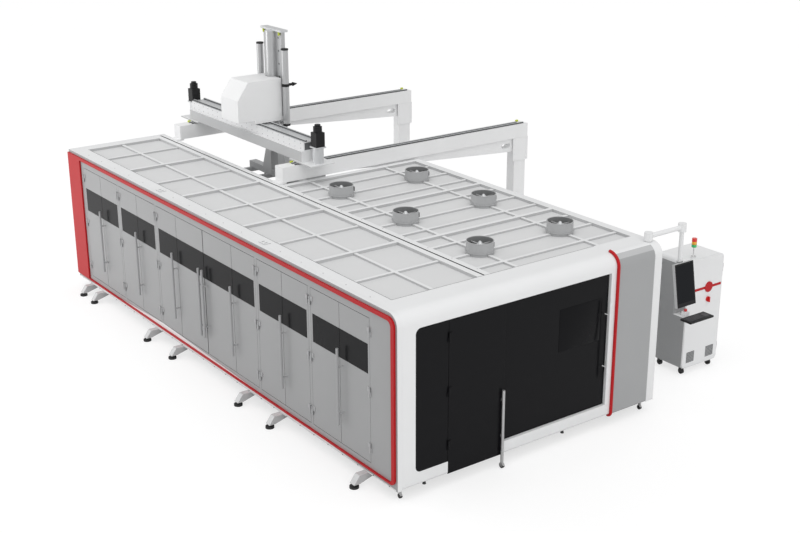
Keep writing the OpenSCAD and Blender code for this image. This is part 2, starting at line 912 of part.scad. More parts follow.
// Right-hand wall, inner wall of the strip, rear wall and the cabin's back wall with the table slot
module plain_walls() color(white) placed() {
  y1 = body_len - wall_t;
  right_wall();
  box([strip_w - wall_t, cabin_len - wall_t, deck_z], [strip_w, y1, sheet_z]);
  box([wall_t, y1, base_z], [strip_w, body_len, body_h]);
  difference() {
    box([strip_w, cabin_len - wall_t, deck_z], [body_w - wall_t - seat, cabin_len, body_h]);
    box([bed_x0 - slot_margin, cabin_len - wall_t - over, deck_z - over],
        [bed_x1 + slot_margin, cabin_len + over, slot_top]);
  }
}

// One fan duct: ring on the roof sheet, lip around it, bracket across it and the motor with its shaft
module duct() {
  ring_h = thin_h + duct_h;
  z1 = roof_low + ring_h;
  difference() {
    union() {
      rod_z([0, 0, roof_low], duct_r, ring_h);
      rod_z([0, 0, body_h], duct_r + flange_over, flange_t);
    }
    rod_z([0, 0, roof_low - over], duct_r - duct_t, ring_h + 2 * over);
  }
  for (a = [0, 90]) rotate(a) {
    box([-duct_r + duct_t / 2, -strut_w / 2, z1 - motor_h - strut_t], [duct_r - duct_t / 2, strut_w / 2, z1 - motor_h]);
  }
  rod_z([0, 0, z1 - 2 * motor_h], motor_r, motor_h);
  rod_z([0, 0, z1 - 2 * motor_h - shaft_len], shaft_r, shaft_len);
}

// One row of three fan ducts
module duct_row(ix) {
  for (y = fan_ys) translate([fan_xs[ix], y, 0]) duct();
}

module fan_ducts_left() color(grey) placed() duct_row(0);
module fan_ducts_right() color(grey) placed() duct_row(1);

// One fan impeller: bored hub and twisted blades made as slanted plates
module impeller(ix, iy) color(dark) placed() {
  z1 = roof_low + thin_h + duct_h - 2 * motor_h - seat;
  z0 = z1 - shaft_len;
  tip = duct_r - duct_t - blade_tip_gap;
  translate([fan_xs[ix], fan_ys[iy], 0]) {
    difference() {
      rod_z([0, 0, z0], hub_r, shaft_len);
      rod_z([0, 0, z0 - over], shaft_r + pin_gap, shaft_len + 2 * over);
    }
    for (i = [0 : blade_count - 1]) rotate(i * 360 / blade_count) {
      intersection() {
        translate([(hub_r + tip) / 2 - blade_t, 0, z0 + shaft_len / 2]) rotate([blade_twist, 0, 0])
          cube([tip - hub_r + 2 * blade_t, blade_chord_share * (tip - hub_r), blade_t], center = true);
        difference() {
          rod_z([0, 0, z0], tip, shaft_len);
          rod_z([0, 0, z0 - over], hub_r - blade_t, shaft_len + 2 * over);
        }
      }
    }
  }
}
module fan_1() { impeller(0, 0); }
module fan_2() { impeller(0, 1); }
module fan_3() { impeller(0, 2); }
module fan_4() { impeller(1, 0); }
module fan_5() { impeller(1, 1); }
module fan_6() { impeller(1, 2); }

// Fixed dark pane at the left of the front with the swing door's fixed hinge halves
module fixed_pane() color(black) placed() {
  x1 = swing_x0 - front_gap / 2;
  y1 = pane_y + glass_t;
  round_x = front_x0 + front_r;
  z0 = front_sill + seat;
  z1 = front_z1 - slide_track;
  round_z0 = front_sill + front_r;
  round_z1 = front_z1 - front_r;
  box([round_x, pane_y, z0], [x1, y1, z1]);
  box([front_x0 + seat, pane_y, round_z0], [round_x, y1, round_z1]);
  intersection() {
    rod_y([round_x, pane_y, round_z0], front_r - seat, glass_t);
    box([front_x0, pane_y, z0], [round_x, y1, round_z0]);
  }
  intersection() {
    rod_y([round_x, pane_y, round_z1], front_r - seat, glass_t);
    box([front_x0, pane_y, round_z1], [round_x, y1, z1]);
  }
  for (z = front_hinge_zs) front_hinge() hinge_fixed(pane_y, swing_x0, z, -1, -1);
}

// Turns a hinge drawn for the side wall to the front
module front_hinge() {
  multmatrix([[0, 1, 0, 0], [1, 0, 0, 0], [0, 0, 1, 0]]) children();
}

// Dark swing door with its corner tube and support caster
module swing_door() color(black) placed() {
  x0 = swing_x0 + front_gap / 2;
  x1 = swing_x0 + swing_w;
  tube_x = x1 - door_tube_in;
  tube_y = pane_y - door_tube_out;
  box([x0, pane_y, sill_low], [x1, pane_y + glass_t, front_z1 - slide_track - front_gap]);
  for (z = front_hinge_zs) front_hinge() hinge_moving(pane_y, swing_x0, z, 1, -1, hinge_leaf_w);
  rod_z([tube_x, tube_y, 2 * door_caster_r], door_tube_r, door_tube_h);
  for (z = [sill_low + door_tube_h / 4, sill_low + door_tube_h * 3 / 4]) {
    box([tube_x - door_tube_r / 2, tube_y, z], [tube_x + door_tube_r / 2, pane_y, z + 2 * door_tube_r]);
  }
  rod_x([tube_x - door_caster_w / 2, tube_y, door_caster_r], door_caster_r, door_caster_w);
  rod_z([tube_x, tube_y, door_caster_r], door_tube_r / 2, door_caster_r);
}

// Dark sliding door hung from the top track, with its pull handle
module sliding_door() color(black) placed() {
  x1 = front_x1 - front_gap;
  box([slide_x0, slide_y, front_sill + front_gap], [x1, slide_y + slide_t, front_z1 - slide_track - seat]);
  rod_z([x1 - pull_in, -pull_out, pull_z0], pull_r, pull_len);
  for (z = [pull_z0 + pull_len / 6, pull_z0 + pull_len * 5 / 6]) {
    rod_y([x1 - pull_in, -pull_out, z], pull_r / 2, slide_y + pull_out);
  }
}

module door_leaf_1() color(grey) placed() leaf(0);
module door_leaf_2() color(grey) placed() leaf(1);
module door_leaf_3() color(grey) placed() leaf(2);
module door_leaf_4() color(grey) placed() leaf(3);
module door_leaf_5() color(grey) placed() leaf(4);
module door_leaf_6() color(grey) placed() leaf(5);
module door_leaf_7() color(grey) placed() leaf(6);
module door_leaf_8() color(grey) placed() leaf(7);
module door_leaf_9() color(grey) placed() leaf(8);
module door_leaf_10() color(grey) placed() leaf(9);
module door_leaf_11() color(grey) placed() leaf(10);
module door_leaf_12() color(grey) placed() leaf(11);

// One rail beam of the loader with its haunch, leg, bolted plate and the seat plate of its left end
module rail_beam(y0) {
  haunch_x0 = rail_x0 + haunch_start_share * rail_len;
  haunch_z = rail_z0 - haunch_h;
  leg_mid = leg_x0 + leg_w / 2;
  y_mid = y0 + rail_w / 2;
  box([rail_x0, y0, rail_z0], [rail_x1, y0 + rail_w, rail_z1]);
  box([strip_w - rail_seat, y0, body_h], [rail_x0 + rail_seat, y0 + rail_w, rail_z0]);
  difference() {
    along_y(y0 + haunch_in, rail_w - 2 * haunch_in) polygon([
      [haunch_x0, rail_z0 + over], [leg_x0 + over, rail_z0 + over], [leg_x0 + over, haunch_z],
      [haunch_x0, rail_z0 - shim_h / 2]
    ]);
    for (d = [0, 1]) {
      rod_y([leg_x0 - hole_gap - d * (hole_len - 2 * hole_r), y0 - over, rail_z0 - haunch_h / 2], hole_r,
            rail_w + 2 * over);
    }
    box([leg_x0 - hole_gap - hole_len + 2 * hole_r, y0 - over, rail_z0 - haunch_h / 2 - hole_r],
        [leg_x0 - hole_gap, y0 + rail_w + over, rail_z0 - haunch_h / 2 + hole_r]);
  }
  box([leg_x0, y0 + haunch_in / 2, 0], [leg_x0 + leg_w, y0 + rail_w - haunch_in / 2, rail_z0]);
  anchor = foot_plate / 2 - anchor_in;
  difference() {
    box([leg_mid - foot_plate / 2, y_mid - foot_plate / 2, 0],
        [leg_mid + foot_plate / 2, y_mid + foot_plate / 2, foot_plate_t]);
    for (dx = [-anchor, anchor], dy = [-anchor, anchor]) {
      rod_z([leg_mid + dx, y_mid + dy, -over], anchor_r, foot_plate_t + 2 * over);
    }
  }
  joint_x0 = leg_mid - joint_plate_w / 2;
  box([joint_x0, y0 + haunch_in / 2 - joint_plate_t, rail_z0 - joint_plate_h],
      [joint_x0 + joint_plate_w, y0 + haunch_in / 2, rail_z0]);
  for (i = [0 : joint_bolt_rows - 1], s = joint_bolt_shares) {
    rod_y([joint_x0 + s * joint_plate_w, y0 + haunch_in / 2 - joint_plate_t - joint_bolt_h,
           rail_z0 - joint_plate_h * (i + 0.5) / joint_bolt_rows], joint_bolt_r, 2 * joint_bolt_h);
  }
}

// Both rail beams of the loader
module loader_frame() color(white) placed() {
  for (y = rails) rail_beam(y);
}

// Guide rails, racks and end buffers on the rail beams
module loader_tracks() color(dark) placed() {
  for (y = rails) {
    box([rail_x0 + stop_in, y + track_in, rail_z1], [rail_x1 - buffer_in / 2, y + track_in + track_w, rail_z1 + track_h]);
    box([rail_x0 + stop_in, y + rack_in, rail_z1], [rail_x1 - buffer_in, y + rack_in + rack_w, rail_z1 + rack_h]);
    for (x = [rail_x0 + stop_in, rail_x1 - buffer_in / 2 - buffer_len]) {
      translate([x, y + rail_w - 2 * buffer_r, rail_z1 + buffer_r]) rotate([0, 90, 0]) {
        cylinder(r = buffer_r, h = buffer_len);
      }
    }
  }
}

// Bridge across the rails: end plates, lower box, upper tube and guide rails on top
module bridge() color(white) placed() {
  plate_x0 = bridge_x0 + (bridge_w - end_plate_w) / 2;
  box([plate_x0, near_y - end_plate_over, plate_z0], [plate_x0 + end_plate_w, near_y + rail_w + end_plate_back, plate_z1]);
  box([plate_x0, far_y - end_plate_back, plate_z0], [plate_x0 + end_plate_w, far_y + rail_w + end_plate_over, plate_z1]);
  box([bridge_x0, bridge_y0, plate_z1], [bridge_x0 + bridge_w, bridge_y1, bridge_z1]);
  box([bridge_x0 + bridge_up_in, bridge_y0, bridge_z1], [bridge_x0 + bridge_w - bridge_up_in, bridge_y1, bridge_z2]);
  for (x = [bridge_x0 + bridge_up_in + guide_in, bridge_x0 + bridge_w - bridge_up_in - guide_in - guide_w]) {
    box([x, bridge_y0, bridge_z2], [x + guide_w, bridge_y1, bridge_z2 + guide_h]);
  }
}

// One bridge drive: round gearbox, mounting plate, square motor and its round encoder
module drive(y) {
  x = bridge_x0 + bridge_w / 2;
  z1 = plate_z1 + gearbox_h;
  z2 = z1 + drive_plate_t;
  z3 = z2 + drive_h;
  rod_z([x, y, plate_z1], gearbox_r, gearbox_h);
  box([x - drive_plate / 2, y - drive_plate / 2, z1], [x + drive_plate / 2, y + drive_plate / 2, z2]);
  box([x - drive_side / 2, y - drive_side / 2, z2], [x + drive_side / 2, y + drive_side / 2, z3]);
  rod_z([x, y, z3], drive_top_r, drive_top_h);
  rod_z([x, y, z3 + drive_top_h], drive_top_r * 2 / 3, drive_cap_h);
}

// The two drives on the bridge's end plates
module bridge_drives() color(black) placed() {
  for (y = [near_y - end_plate_over / 2 - drive_gap, far_y + rail_w + end_plate_over / 2 + drive_gap]) drive(y);
}

// Carriage on the bridge: saddle, cheek, guide blocks for the column and the chamfered cover
module carriage() color(white) placed() {
  saddle_z0 = bridge_z2 + guide_h + seat;
  difference() {
    union() {
      box([bridge_x0, carriage_y0, saddle_z0], [cover_x1, carriage_y0 + cover_d, cover_z0]);
      along_y(carriage_y0, cover_d) polygon([
        [cover_x0, cover_z0], [cover_x1, cover_z0], [cover_x1, cover_z0 + cover_h],
        [cover_x0 + cover_chamfer_x, cover_z0 + cover_h], [cover_x0, cover_z0 + cover_h - cover_chamfer_z]
      ]);
      box([cover_x1 - cheek_t, carriage_y0, plate_z1 + cheek_low], [cover_x1, carriage_y0 + cover_d, cover_z0]);
    }
    rod_z([column_x0 - bulge_ahead, column_mid, plate_z1], bulge_r + bulge_clear, cover_z0 + cover_h - plate_z1 + over);
  }
  for (y = [column_y0, column_y0 + column_w - 2 * block_len]) {
    box([cover_x1 - over, y, cover_z0 - block_h], [cover_x1 + block_len - seat, y + 2 * block_len, cover_z0]);
  }
  box([cover_x1 - cheek_t, carriage_y0 + cover_d - over, cover_z0 - block_h], [cover_x1, column_y0 + column_w, cover_z0]);
}

// Lifting column: guide plate, round spine ahead of it, cap and buffers
module lift_column() color(steel) placed() {
  z1 = column_z0 + column_len;
  box([column_x0, column_y0, column_z0], [column_x0 + column_t, column_y0 + column_w, z1]);
  difference() {
    rod_z([column_x0 - bulge_ahead, column_mid, column_z0], bulge_r, column_len);
    box([column_x0 + column_t / 2, column_mid - bulge_r, column_z0 - over],
        [column_x0 + 2 * bulge_r, column_mid + bulge_r, z1 + over]);
  }
  box([column_x0 - cap_over, column_y0 - cap_side, z1],
      [column_x0 + column_t + cap_over, column_y0 + column_w + cap_side, z1 + cap_t]);
  for (y = [column_y0 + 2 * cap_buffer_r, column_y0 + column_w - 2 * cap_buffer_r]) {
    rod_z([column_x0 + column_t + cap_buffer_r / 2, y, z1 - 2 * cap_buffer_r], cap_buffer_r / 2, 2 * cap_buffer_r);
  }
}

// Both balance cylinders with the arms that carry them from the carriage
module balance_cylinders() color(steel) placed() {
  x = column_x0 - cylinder_ahead;
  near = column_y0 - cylinder_gap - cylinder_r;
  far = column_y0 + column_w + cylinder_gap + cylinder_r;
  for (y = [near, far]) {
    rod_z([x, y, cylinder_z0], cylinder_r, cylinder_len);
    rod_z([x, y, cylinder_z0 + cylinder_len], cylinder_r + cylinder_ring, clamp_h / 2);
  }
  near_in = column_y0 - cylinder_gap;
  far_in = column_y0 + column_w + cylinder_gap;
  z0 = cover_z0 - 2 * clamp_h;
  z1 = cover_z0 - clamp_h;
  box([cover_x1, near - cylinder_r, z0], [x, near_in, z1]);
  box([cover_x1 - cheek_t, near - cylinder_r, z0], [cover_x1, carriage_y0, z1]);
  box([cover_x1, far_in, z0], [x, far + cylinder_r, z1]);
  box([cover_x1 - cheek_t, column_y0 + column_w, z0], [cover_x1, far + cylinder_r, z1]);
}

// Fork under the column and the frame of arms that carries the suction cups
module suction_frame() color(dark) placed() {
  fork_z0 = column_z0 - fork_h;
  spine_z0 = fork_z0 - spine_h;
  knee_z = column_z0 - fork_knee;
  arch_z = column_z0 - fork_arch_share * fork_h;
  low = fork_low_share * column_w;
  hole_r = fork_hole_share * column_w / 2;
  x_mid = column_x0 + column_t / 2;
  fork_x0 = x_mid - fork_t / 2;
  difference() {
    along_x(fork_x0, fork_t) polygon([
      [column_mid - low / 2, spine_z0], [column_mid + low / 2, spine_z0], [column_y0 + column_w, knee_z],
      [column_y0 + column_w, column_z0], [column_y0, column_z0], [column_y0, knee_z]
    ]);
    box([fork_x0 - over, column_mid - hole_r, spine_z0 - over], [fork_x0 + fork_t + over, column_mid + hole_r, arch_z]);
    rod_x([fork_x0 - over, column_mid, arch_z], hole_r, fork_t + 2 * over);
  }
  box([x_mid - spine_w / 2, column_mid - spine_len / 2, spine_z0], [x_mid + spine_w / 2, column_mid + spine_len / 2, fork_z0]);
  for (y = arm_ys()) {
    box([x_mid - arm_len / 2, y - arm_w / 2, spine_z0 - arm_h], [x_mid + arm_len / 2, y + arm_w / 2, spine_z0]);
  }
}

// Places of the suction arms along the spine
function arm_ys() = [for (i = [0 : arm_count - 1])
  column_mid - spine_len / 2 + arm_end + i * (spine_len - 2 * arm_end) / (arm_count - 1)];

// Suction cups on stems under the arms
module suction_cups() color(black) placed() {
  x_mid = column_x0 + column_t / 2;
  z1 = column_z0 - fork_h - spine_h - arm_h;
  for (y = arm_ys(), s = cup_shares) translate([x_mid - arm_len / 2 + s * arm_len, y, 0]) {
    rod_z([0, 0, z1 - stem_h], stem_r, stem_h);
    translate([0, 0, z1 - stem_h - cup_h]) cylinder(r1 = cup_r, r2 = cup_neck_r, h = cup_h);
  }
}

// Foot and pivot of the operator panel's arm
module panel_base() color(grey) placed() {
  rod_z([panel_x, panel_y, body_h], foot_r, foot_h);
  rod_z([panel_x, panel_y, body_h], pivot_r, foot_h + pivot_h);
}

// Swivel arm with its two knuckles
module panel_arm() color(white) placed() {
  z0 = arm_z - knuckle_h / 2;
  difference() {
    union() {
      rod_z([panel_x, panel_y, z0], knuckle_r, knuckle_h);
      rod_z([elbow_x, panel_y, z0], knuckle_r, knuckle_h);
      rod_x([panel_x, panel_y, arm_z], arm_r, arm_reach);
    }
    rod_z([panel_x, panel_y, z0 - over], pivot_r + pin_gap, pivot_h + 2 * over);
    rod_z([elbow_x, panel_y, z0 - over], hang_pin_r + pin_gap, hang_pin_h + 2 * over);
  }
}

// Hanging tube with its pivot pin, the stalk behind the monitor and the button box
module panel_hanger() color(white) placed() {
  stalk_y = panel_y - stalk_t / 2;
  tray_back = far_y0 + tray_d;
  rod_z([elbow_x, panel_y, hang_z0], hang_r, hang_len);
  rod_z([elbow_x, panel_y, hang_z1], hang_pin_r, hang_pin_h);
  box([elbow_x - stalk_w / 2, stalk_y, stalk_low], [elbow_x + stalk_w / 2, stalk_y + stalk_t, hang_z0 + over]);
  box([elbow_x - stalk_w / 2, tray_back, stalk_low], [elbow_x + stalk_w / 2, stalk_y + over, stalk_low + tray_t]);
  difference() {
    box([elbow_x - button_box / 2, tray_back, stalk_low + tray_t - over],
        [elbow_x + button_box / 2, tray_back + button_box, button_z]);
    rod_z([elbow_x, tray_back + button_box / 2, button_z - button_depth - 2 * button_travel],
          button_stem_r + pin_gap, button_depth + 2 * button_travel + over);
  }
  screen_mount();
}

// Arm from the stalk to the back of the monitor
module screen_mount() {
  z = screen_z1 - screen_h / 2;
  y_back = screen_back(z);
  box([elbow_x - bracket_side / 2, y_back, z - bracket_side / 2], [elbow_x + bracket_side / 2, panel_y, z + bracket_side / 2]);
}

// Back of the monitor's upright plate at its middle
function screen_back(z) = screen_top_y - (screen_z1 - z) * tan(screen_lean) + screen_t;

// Portrait monitor that leans back
module monitor() color(black) placed() {
  difference() {
    translate([elbow_x - screen_w / 2, screen_top_y, screen_z1]) rotate([-screen_lean, 0, 0])
      translate([0, 0, -screen_h]) cube([screen_w, screen_t, screen_h]);
    screen_mount();
  }
}

// Keyboard tray in front of the stalk
module keyboard_tray() color(black) placed() {
  box([elbow_x - tray_w / 2 + tray_d / 2, far_y0, stalk_low], [elbow_x + tray_w / 2 + tray_d / 2, far_y0 + tray_d, stalk_low + tray_t]);
}

// Emergency stop button on the button box
module stop_button() color(red) placed() {
  y = far_y0 + tray_d + button_box / 2;
  rod_z([elbow_x, y, button_z + button_travel], button_r, button_h);
  rod_z([elbow_x, y, button_z - button_depth], button_stem_r, button_depth + button_travel + over);
}

// Rounded outline of the cabinet in X and Z
module cabinet_outline(d) {
  w = cabinet_w - 2 * d;
  h = cabinet_h - cabinet_z0 - 2 * d;
  r = cabinet_r - d;
  translate([cabinet_x0 + d, cabinet_z0 + d]) {
    translate([r, 0]) square([w - 2 * r, h]);
    translate([0, r]) square([w, h - 2 * r]);
    for (x = [r, w - r], z = [r, h - r]) translate([x, z]) circle(r);
  }
}

// Open-fronted shell of the power cabinet
module cabinet_shell() color(grey) placed() {
  y0 = cabinet_y0 + cabinet_t + over;
  difference() {
    along_y(y0, cabinet_y1 - y0) cabinet_outline(0);
    along_y(y0 - over, cabinet_y1 - y0 - cabinet_t + over) cabinet_outline(cabinet_t);
  }
  for (z = cabinet_hinge_zs) hinge_fixed(cabinet_x1, cabinet_seam, z, 1, 1);
}

// Cabinet door with vents, stripe and disc
module cabinet_door() color(white) placed() {
  x_mid = cabinet_x0 + cabinet_mid_share * cabinet_w;
  stripe_z = cabinet_z0 + stripe_z_share * (cabinet_h - cabinet_z0);
  switch_z = cabinet_z0 + switch_z_share * (cabinet_h - cabinet_z0);
  difference() {
    union() {
      along_y(cabinet_y0, cabinet_t) cabinet_outline(0);
      box([cabinet_x0 + cabinet_r, cabinet_y0 - stripe_t, stripe_z - stripe_h / 2],
          [cabinet_x1 - cabinet_t, cabinet_y0 + over, stripe_z + stripe_h / 2]);
      rod_y([x_mid, cabinet_y0 - disc_h, stripe_z], disc_r, disc_h + over);
    }
    for (x = [cabinet_x0 + vent_in, cabinet_x1 - vent_in - vent_side]) {
      box([x, cabinet_y0 - over, cabinet_z0 + vent_low], [x + vent_side, cabinet_y0 + vent_d, cabinet_z0 + vent_low + vent_side]);
    }
    rod_y([x_mid, cabinet_y0 - over, switch_z], switch_pin_r + pin_gap, cabinet_t + 2 * over);
  }
  for (z = cabinet_hinge_zs) hinge_moving(cabinet_x1, cabinet_seam, z, -1, 1, cabinet_t);
}

// Main switch of the cabinet
module cabinet_switch() color(red) placed() {
  x_mid = cabinet_x0 + cabinet_mid_share * cabinet_w;
  switch_z = cabinet_z0 + switch_z_share * (cabinet_h - cabinet_z0);
  y1 = cabinet_y0 - seat;
  rod_y([x_mid, y1 - switch_h, switch_z], switch_r, switch_h);
  rod_y([x_mid, y1 - over, switch_z], switch_pin_r, cabinet_t);
  box([x_mid - switch_bar_w / 2, y1 - switch_h - switch_bar_h, switch_z - switch_r],
      [x_mid + switch_bar_w / 2, y1 - switch_h + over, switch_z + switch_r]);
}

// Casters under the cabinet
module cabinet_casters() color(black) placed() {
  r = cabinet_caster_r;
  for (x = [cabinet_x0 + cabinet_caster_in, cabinet_x1 - cabinet_caster_in],
       y = [cabinet_y0 + cabinet_caster_in, cabinet_y1 - cabinet_caster_in]) {
    rod_x([x - cabinet_caster_w / 2, y, r], r, cabinet_caster_w);
    box([x - cabinet_caster_w, y - r / 2, r], [x + cabinet_caster_w, y + r / 2, cabinet_z0]);
  }
}

// Signal lamp on its stem
module signal_lamp() color(red) placed() {
  x = cabinet_x0 + lamp_right;
  y = cabinet_y0 + lamp_in;
  rod_z([x, y, cabinet_h], lamp_base_r, lamp_base_h);
  rod_z([x, y, cabinet_h], lamp_stem_r, lamp_stem_h);
  rod_z([x, y, cabinet_h + lamp_stem_h], lamp_r, lamp_count * lamp_h);
}

// Welded bed that runs from the cabin out to the loading place
module cutting_bed() color(grey) placed() {
  len = bed_y1 - bed_y0;
  for (x = [bed_x0, bed_x1 - bed_side]) box([x, bed_y0, deck_z], [x + bed_side, bed_y1, bed_z]);
  for (s = tie_shares) box([bed_x0, bed_y0 + s * len - tie_w / 2, deck_z], [bed_x1, bed_y0 + s * len + tie_w / 2, deck_z + tie_h]);
  for (s = bed_leg_shares, x = [bed_x0 + bed_side / 2, bed_x1 - bed_side / 2]) {
    box([x - bed_leg / 2, bed_y0 + s * len - bed_leg / 2, 0], [x + bed_leg / 2, bed_y0 + s * len + bed_leg / 2, deck_z]);
  }
  for (x = [bed_x0 + way_in, bed_x1 - way_in - way_w]) {
    box([x, bed_y0, bed_z], [x + way_w, cabin_len - wall_t, bed_z + way_h]);
  }
  for (x = [bed_x0 + roll_in, bed_x1 - roll_in - roll_w]) box([x, bed_y0, bed_z], [x + roll_w, bed_y1, bed_z + roll_h]);
}

// Gantry beam that rides on the bed's ways
module gantry_beam() color(white) placed() {
  foot_z = bed_z + way_h + seat;
  foot_x = way_in + way_w / 2 - gantry_foot_w / 2;
  box([bed_x0 + foot_x, gantry_y0, gantry_z0], [bed_x1 - foot_x, gantry_y0 + gantry_w, gantry_z0 + gantry_h]);
  for (x = [bed_x0 + foot_x, bed_x1 - foot_x - gantry_foot_w]) {
    box([x, gantry_y0, foot_z], [x + gantry_foot_w, gantry_y0 + gantry_w, gantry_z0 + over]);
  }
}

// Cutting carriage on the front of the gantry beam
module cutting_carriage() color(red) placed() {
  y1 = gantry_y0 - seat;
  box([head_x - head_car_w / 2, y1 - head_car_t, gantry_z0 - head_car_h / 4],
      [head_x + head_car_w / 2, y1, gantry_z0 - head_car_h / 4 + head_car_h]);
}

// Cutting head with its nozzle in front of the carriage
module cutting_head() color(steel) placed() {
  y1 = gantry_y0 - seat - head_car_t - seat;
  z0 = gantry_z0 - head_nozzle_h;
  y = y1 - head_r;
  rod_z([head_x, y, z0], head_r, head_h);
  translate([head_x, y, z0 - head_nozzle_h]) cylinder(r1 = head_tip_r, r2 = head_nozzle_r, h = head_nozzle_h);
  box([head_x - head_seat_w / 2, y, z0], [head_x + head_seat_w / 2, y1, z0 + head_h]);
}

// Slatted exchange table on the bed's rollers
module exchange_table() color(steel) placed() {
  x0 = bed_x0 + roll_in + roll_w / 2 - table_side / 2;
  x1 = bed_x1 - roll_in - roll_w / 2 + table_side / 2;
  z1 = table_z0 + table_side_h;
  for (x = [x0, x1 - table_side]) box([x, table_y0, table_z0], [x + table_side, table_y0 + table_len, z1]);
  for (y = [table_y0, table_y0 + table_len - table_side]) box([x0, y, table_z0], [x1, y + table_side, z1]);
  pitch = (table_len - 2 * table_side) / (slat_count + 1);
  tooth = (x1 - x0 - 2 * table_side) / tooth_count;
  for (i = [1 : slat_count]) along_y(table_y0 + table_side + i * pitch - slat_t / 2, slat_t) {
    translate([x0 + table_side - over, z1 - slat_h]) square([x1 - x0 - 2 * table_side + 2 * over, slat_h]);
    for (k = [0 : tooth_count - 1]) polygon([
      [x0 + table_side + k * tooth, z1 - over], [x0 + table_side + (k + 1) * tooth, z1 - over],
      [x0 + table_side + (k + 0.5) * tooth, z1 + tooth_h]
    ]);
  }
}

// Laser source unit that stands on the deck of the strip
module laser_source() color(dark) placed() {
  y0 = source_y0_share * body_len;
  box([source_x0, y0, deck_z + source_foot_h], [source_x0 + source_w, y0 + source_len, deck_z + source_foot_h + source_h]);
  for (x = [source_x0 + 2 * source_foot_r, source_x0 + source_w - 2 * source_foot_r],
       y = [y0 + 2 * source_foot_r, y0 + source_len - 2 * source_foot_r]) {
    rod_z([x, y, deck_z], source_foot_r, source_foot_h);
  }
}

base_frame();
outrigger_brackets();
levelling_feet();
side_wall();
side_trim();
front_fascia();
corner_panel();
corner_tube();
roof_frame();
roof_sheets();
plain_walls();
fan_ducts_left();
fan_ducts_right();
fan_1();
fan_2();
fan_3();
fan_4();
fan_5();
fan_6();
fixed_pane();
swing_door();
sliding_door();
door_leaf_1();
door_leaf_2();
door_leaf_3();
door_leaf_4();
door_leaf_5();
door_leaf_6();
door_leaf_7();
door_leaf_8();
door_leaf_9();
door_leaf_10();
door_leaf_11();
door_leaf_12();
loader_frame();
loader_tracks();
bridge();
bridge_drives();
carriage();
lift_column();
balance_cylinders();
suction_frame();
suction_cups();
panel_base();
panel_arm();
panel_hanger();
monitor();
keyboard_tray();
stop_button();
cabinet_shell();
cabinet_door();
cabinet_switch();
cabinet_casters();
signal_lamp();
cutting_bed();
gantry_beam();
cutting_carriage();
cutting_head();
exchange_table();
laser_source();
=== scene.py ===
"""Looks of an enclosed sheet cutting machine with its loader, operator panel and power cabinet."""

import logging
import math
from collections.abc import Callable, Iterable, Sequence
from dataclasses import dataclass, field
from enum import Enum

import bmesh
import bpy
from mathutils import Matrix, Vector


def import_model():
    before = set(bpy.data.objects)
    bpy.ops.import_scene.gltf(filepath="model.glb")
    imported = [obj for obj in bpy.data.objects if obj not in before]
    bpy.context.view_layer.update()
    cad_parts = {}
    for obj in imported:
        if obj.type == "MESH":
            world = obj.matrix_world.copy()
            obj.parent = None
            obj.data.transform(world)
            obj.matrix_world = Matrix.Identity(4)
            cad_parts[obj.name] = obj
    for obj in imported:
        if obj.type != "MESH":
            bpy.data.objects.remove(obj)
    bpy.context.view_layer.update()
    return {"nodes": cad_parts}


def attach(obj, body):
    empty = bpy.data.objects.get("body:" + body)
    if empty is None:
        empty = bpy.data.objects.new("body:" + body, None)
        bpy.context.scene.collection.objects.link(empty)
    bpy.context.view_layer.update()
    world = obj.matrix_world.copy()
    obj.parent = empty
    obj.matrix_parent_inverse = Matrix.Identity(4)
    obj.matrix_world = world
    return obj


LOG = logging.getLogger("machine")
# The row frame's origin, in machine coordinates: X from the door side, Y from the front, Z from the floor.
ORIGIN = Vector((2.9475, 4.1647468, 0.0))

# Meshes: the angle that stays smooth, rounded edges, the sides of bolt heads, and how far small pieces
# reach into the face that carries them.
SMOOTH_ANGLE = math.radians(35)
BEVEL_STEPS = 3
BEVEL_PROFILE = 0.5
HEX = 6
ROUND = 12
SUNK = 0.001

# Faces, told by the part of the normal that lies along an axis.
FACING = 0.5
EDGE_ON = 0.3

# Materials: cloudy colour, fine grain, uneven gloss, clear coat and softened edges.
CLOUD_SCALE = 2.2
CLOUD_DETAIL = 4.0
CLOUD_SHARE = 0.03
GRAIN_SCALE = 350.0
GRAIN_DETAIL = 3.0
GRAIN_DEPTH = 0.001
GLOSS_SPREAD = 0.05
GLOSS_LEAST = 0.02
COAT_ROUGHNESS = 0.06
EDGE_SAMPLES = 6

Point = tuple[float, float, float]
Pair = tuple[float, float]
Span = tuple[float, float]
Test = Callable[[Vector, Vector], bool]


def at(x: float, y: float, z: float) -> Vector:
    """Turns a point of the machine's own coordinates into the row frame."""
    return Vector((x, y, z)) - ORIGIN


def within(value: float, span: Span) -> bool:
    """True where a value lies between two limits."""
    return span[0] < value < span[1]


